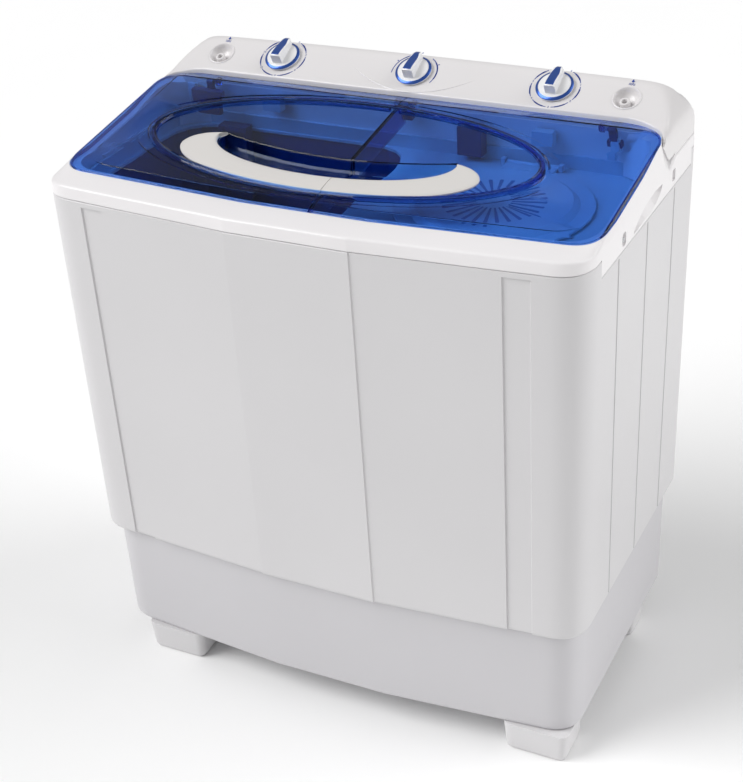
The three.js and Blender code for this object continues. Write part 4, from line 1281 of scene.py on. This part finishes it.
def wall_box(low, high):
    """A dark housing on the wall behind the mouths, with a stepped lower half."""
    middle = (low[2] + high[2]) / 2
    x, half = (low[0] + high[0]) / 2, (high[0] - low[0]) / 2
    y, deep = (low[1] + high[1]) / 2, (high[1] - low[1]) / 2
    upper = slab(rectangle(half, deep, 3, x, y), middle, high[2], 1.2)
    lower = slab(rectangle(half * 0.8, deep * 0.8, 3, x, y + deep * 0.2), low[2], middle, 1.2)
    return together(upper, lower)


def wall_rib(x, z_low, z_high):
    """A light upright rib on the wall behind the mouths."""
    return slab(rectangle(6, 4, 2, x, RIB_Y), z_low, z_high, 1)


def build_inner_details():
    vents = Matrix.Translation((SPIN_AXIS.x, SPIN_AXIS.y, COVER_TOP))
    piece("inner_cover_vent_shade", vent_slots(), VENT_SHADE, vents, body="inner_cover")
    piece("wall_box_left", wall_box((-309, 79, 747), (-262, 90.5, 781)), NAVY)
    piece("wall_rib_left", wall_rib(-321, 750, 778), TUB)
    piece("wall_rib_right", wall_rib(293, 745, 777), TUB)


# ---- Carried-over frame parts ----

# The wash tub and pulsator take the painted-shade dark blue.
OWN_LOOKS = {"wash_tub": TUB_SHADOW, "pulsator": TUB_SHADOW, "tub_collar": RIM}
LOOKS = {look[1]: look for look in (BODY, DECK_LIT, TUB, GRIP, NAVY, STEEL, MOTOR, RUBBER, LID_BLUE)}


def dress_frame():
    """Gives every frame part that still shows its material and softened edges."""
    slots = {part["node"]: part["material_slot"] for part in frame["record"]["subparts"]}
    for name, made in frame["nodes"].items():
        look = OWN_LOOKS.get(name) or LOOKS[slots[name]]
        made.data.materials.clear()
        made.data.materials.append(look[0])
        weld = made.modifiers.new("weld", "WELD")
        weld.merge_threshold = 0.02 * MM
        soften(made, 0.6, 2, 30)


# ---- Whole object ----

def build_washer():
    piece("cabinet", cabinet_skin(), BODY, replaces=["cabinet_shell"], bevel=0.5, sharp=40)
    piece("base", skirt_skin(), BASE_SHADED, replaces=["base_skirt"], bevel=0.5, sharp=40)
    for name in ("front_left", "front_right", "rear_left", "rear_right"):
        piece("foot_block_" + name, foot("foot_" + name), BODY, replaces=["foot_" + name], sharp=50)
    build_deck()
    build_console()
    build_prints()
    build_inner_details()
    build_knob("wash_timer_knob", -KNOB_X)
    build_knob("selector_knob", 0)
    build_knob("spin_timer_knob", KNOB_X)
    build_lid("wash_lid", -1)
    build_lid("spin_lid", 1)
    build_grip("wash_lid_grip_top", "wash_lid", -1)
    build_grip("spin_lid_grip_top", "spin_lid", 1)


# ---- Stage, light and camera ----

def build_floor():
    made = solid_object("floor", slab(rectangle(6000, 6000, 2000), -2, 0))
    paper, tree, shader, place = new_material("pale_paper")
    cloud = noise(tree, place, 1.5)
    tone = tint(tree, cloud, (0.93, 0.93, 0.93), (0.96, 0.96, 0.96))
    set_inputs(tree, shader, Base_Color=tone, Roughness=0.9)
    made.data.materials.append(paper)


def build_light(name, towards, spread, strength):
    """A soft, distant lamp shining from a direction."""
    lamp = bpy.data.lights.new(name, "SUN")
    lamp.angle = math.radians(spread)
    lamp.energy = strength
    made = placed(name, lamp)
    made.rotation_euler = Vector(towards).to_track_quat("Z", "Y").to_euler()


def build_camera():
    yaw, pitch, roll = 0.4834274, -0.5286073, -0.0602118
    forward = Vector((-math.sin(yaw) * math.cos(pitch), math.cos(yaw) * math.cos(pitch), math.sin(pitch)))
    right = Vector((math.cos(yaw), math.sin(yaw), 0))
    up = right.cross(forward)
    level_right = right * math.cos(roll) + up * math.sin(roll)
    level_up = up * math.cos(roll) - right * math.sin(roll)
    camera = bpy.data.cameras.new("camera")
    camera.lens = 73.13
    camera.sensor_width = 36
    made = placed("camera", camera)
    turn = Matrix((level_right, level_up, -forward)).transposed().to_4x4()
    made.matrix_world = Matrix.Translation((0.8776, -1.6986, 1.5218)) @ turn
    bpy.context.scene.camera = made


def build_world():
    world = bpy.data.worlds.new("studio")
    world.use_nodes = True
    back = world.node_tree.nodes["Background"]
    back.inputs["Color"].default_value = (1, 1, 1, 1)
    back.inputs["Strength"].default_value = 0.38
    bpy.context.scene.world = world
    bpy.context.scene.view_settings.view_transform = "Standard"


build_camera()
build_world()
build_floor()
build_light("key", (-0.7, -0.5, 0.75), 40, 2.2)
build_light("fill", (0.85, 0.35, 0.5), 50, 1.5)
build_washer()
dress_frame()
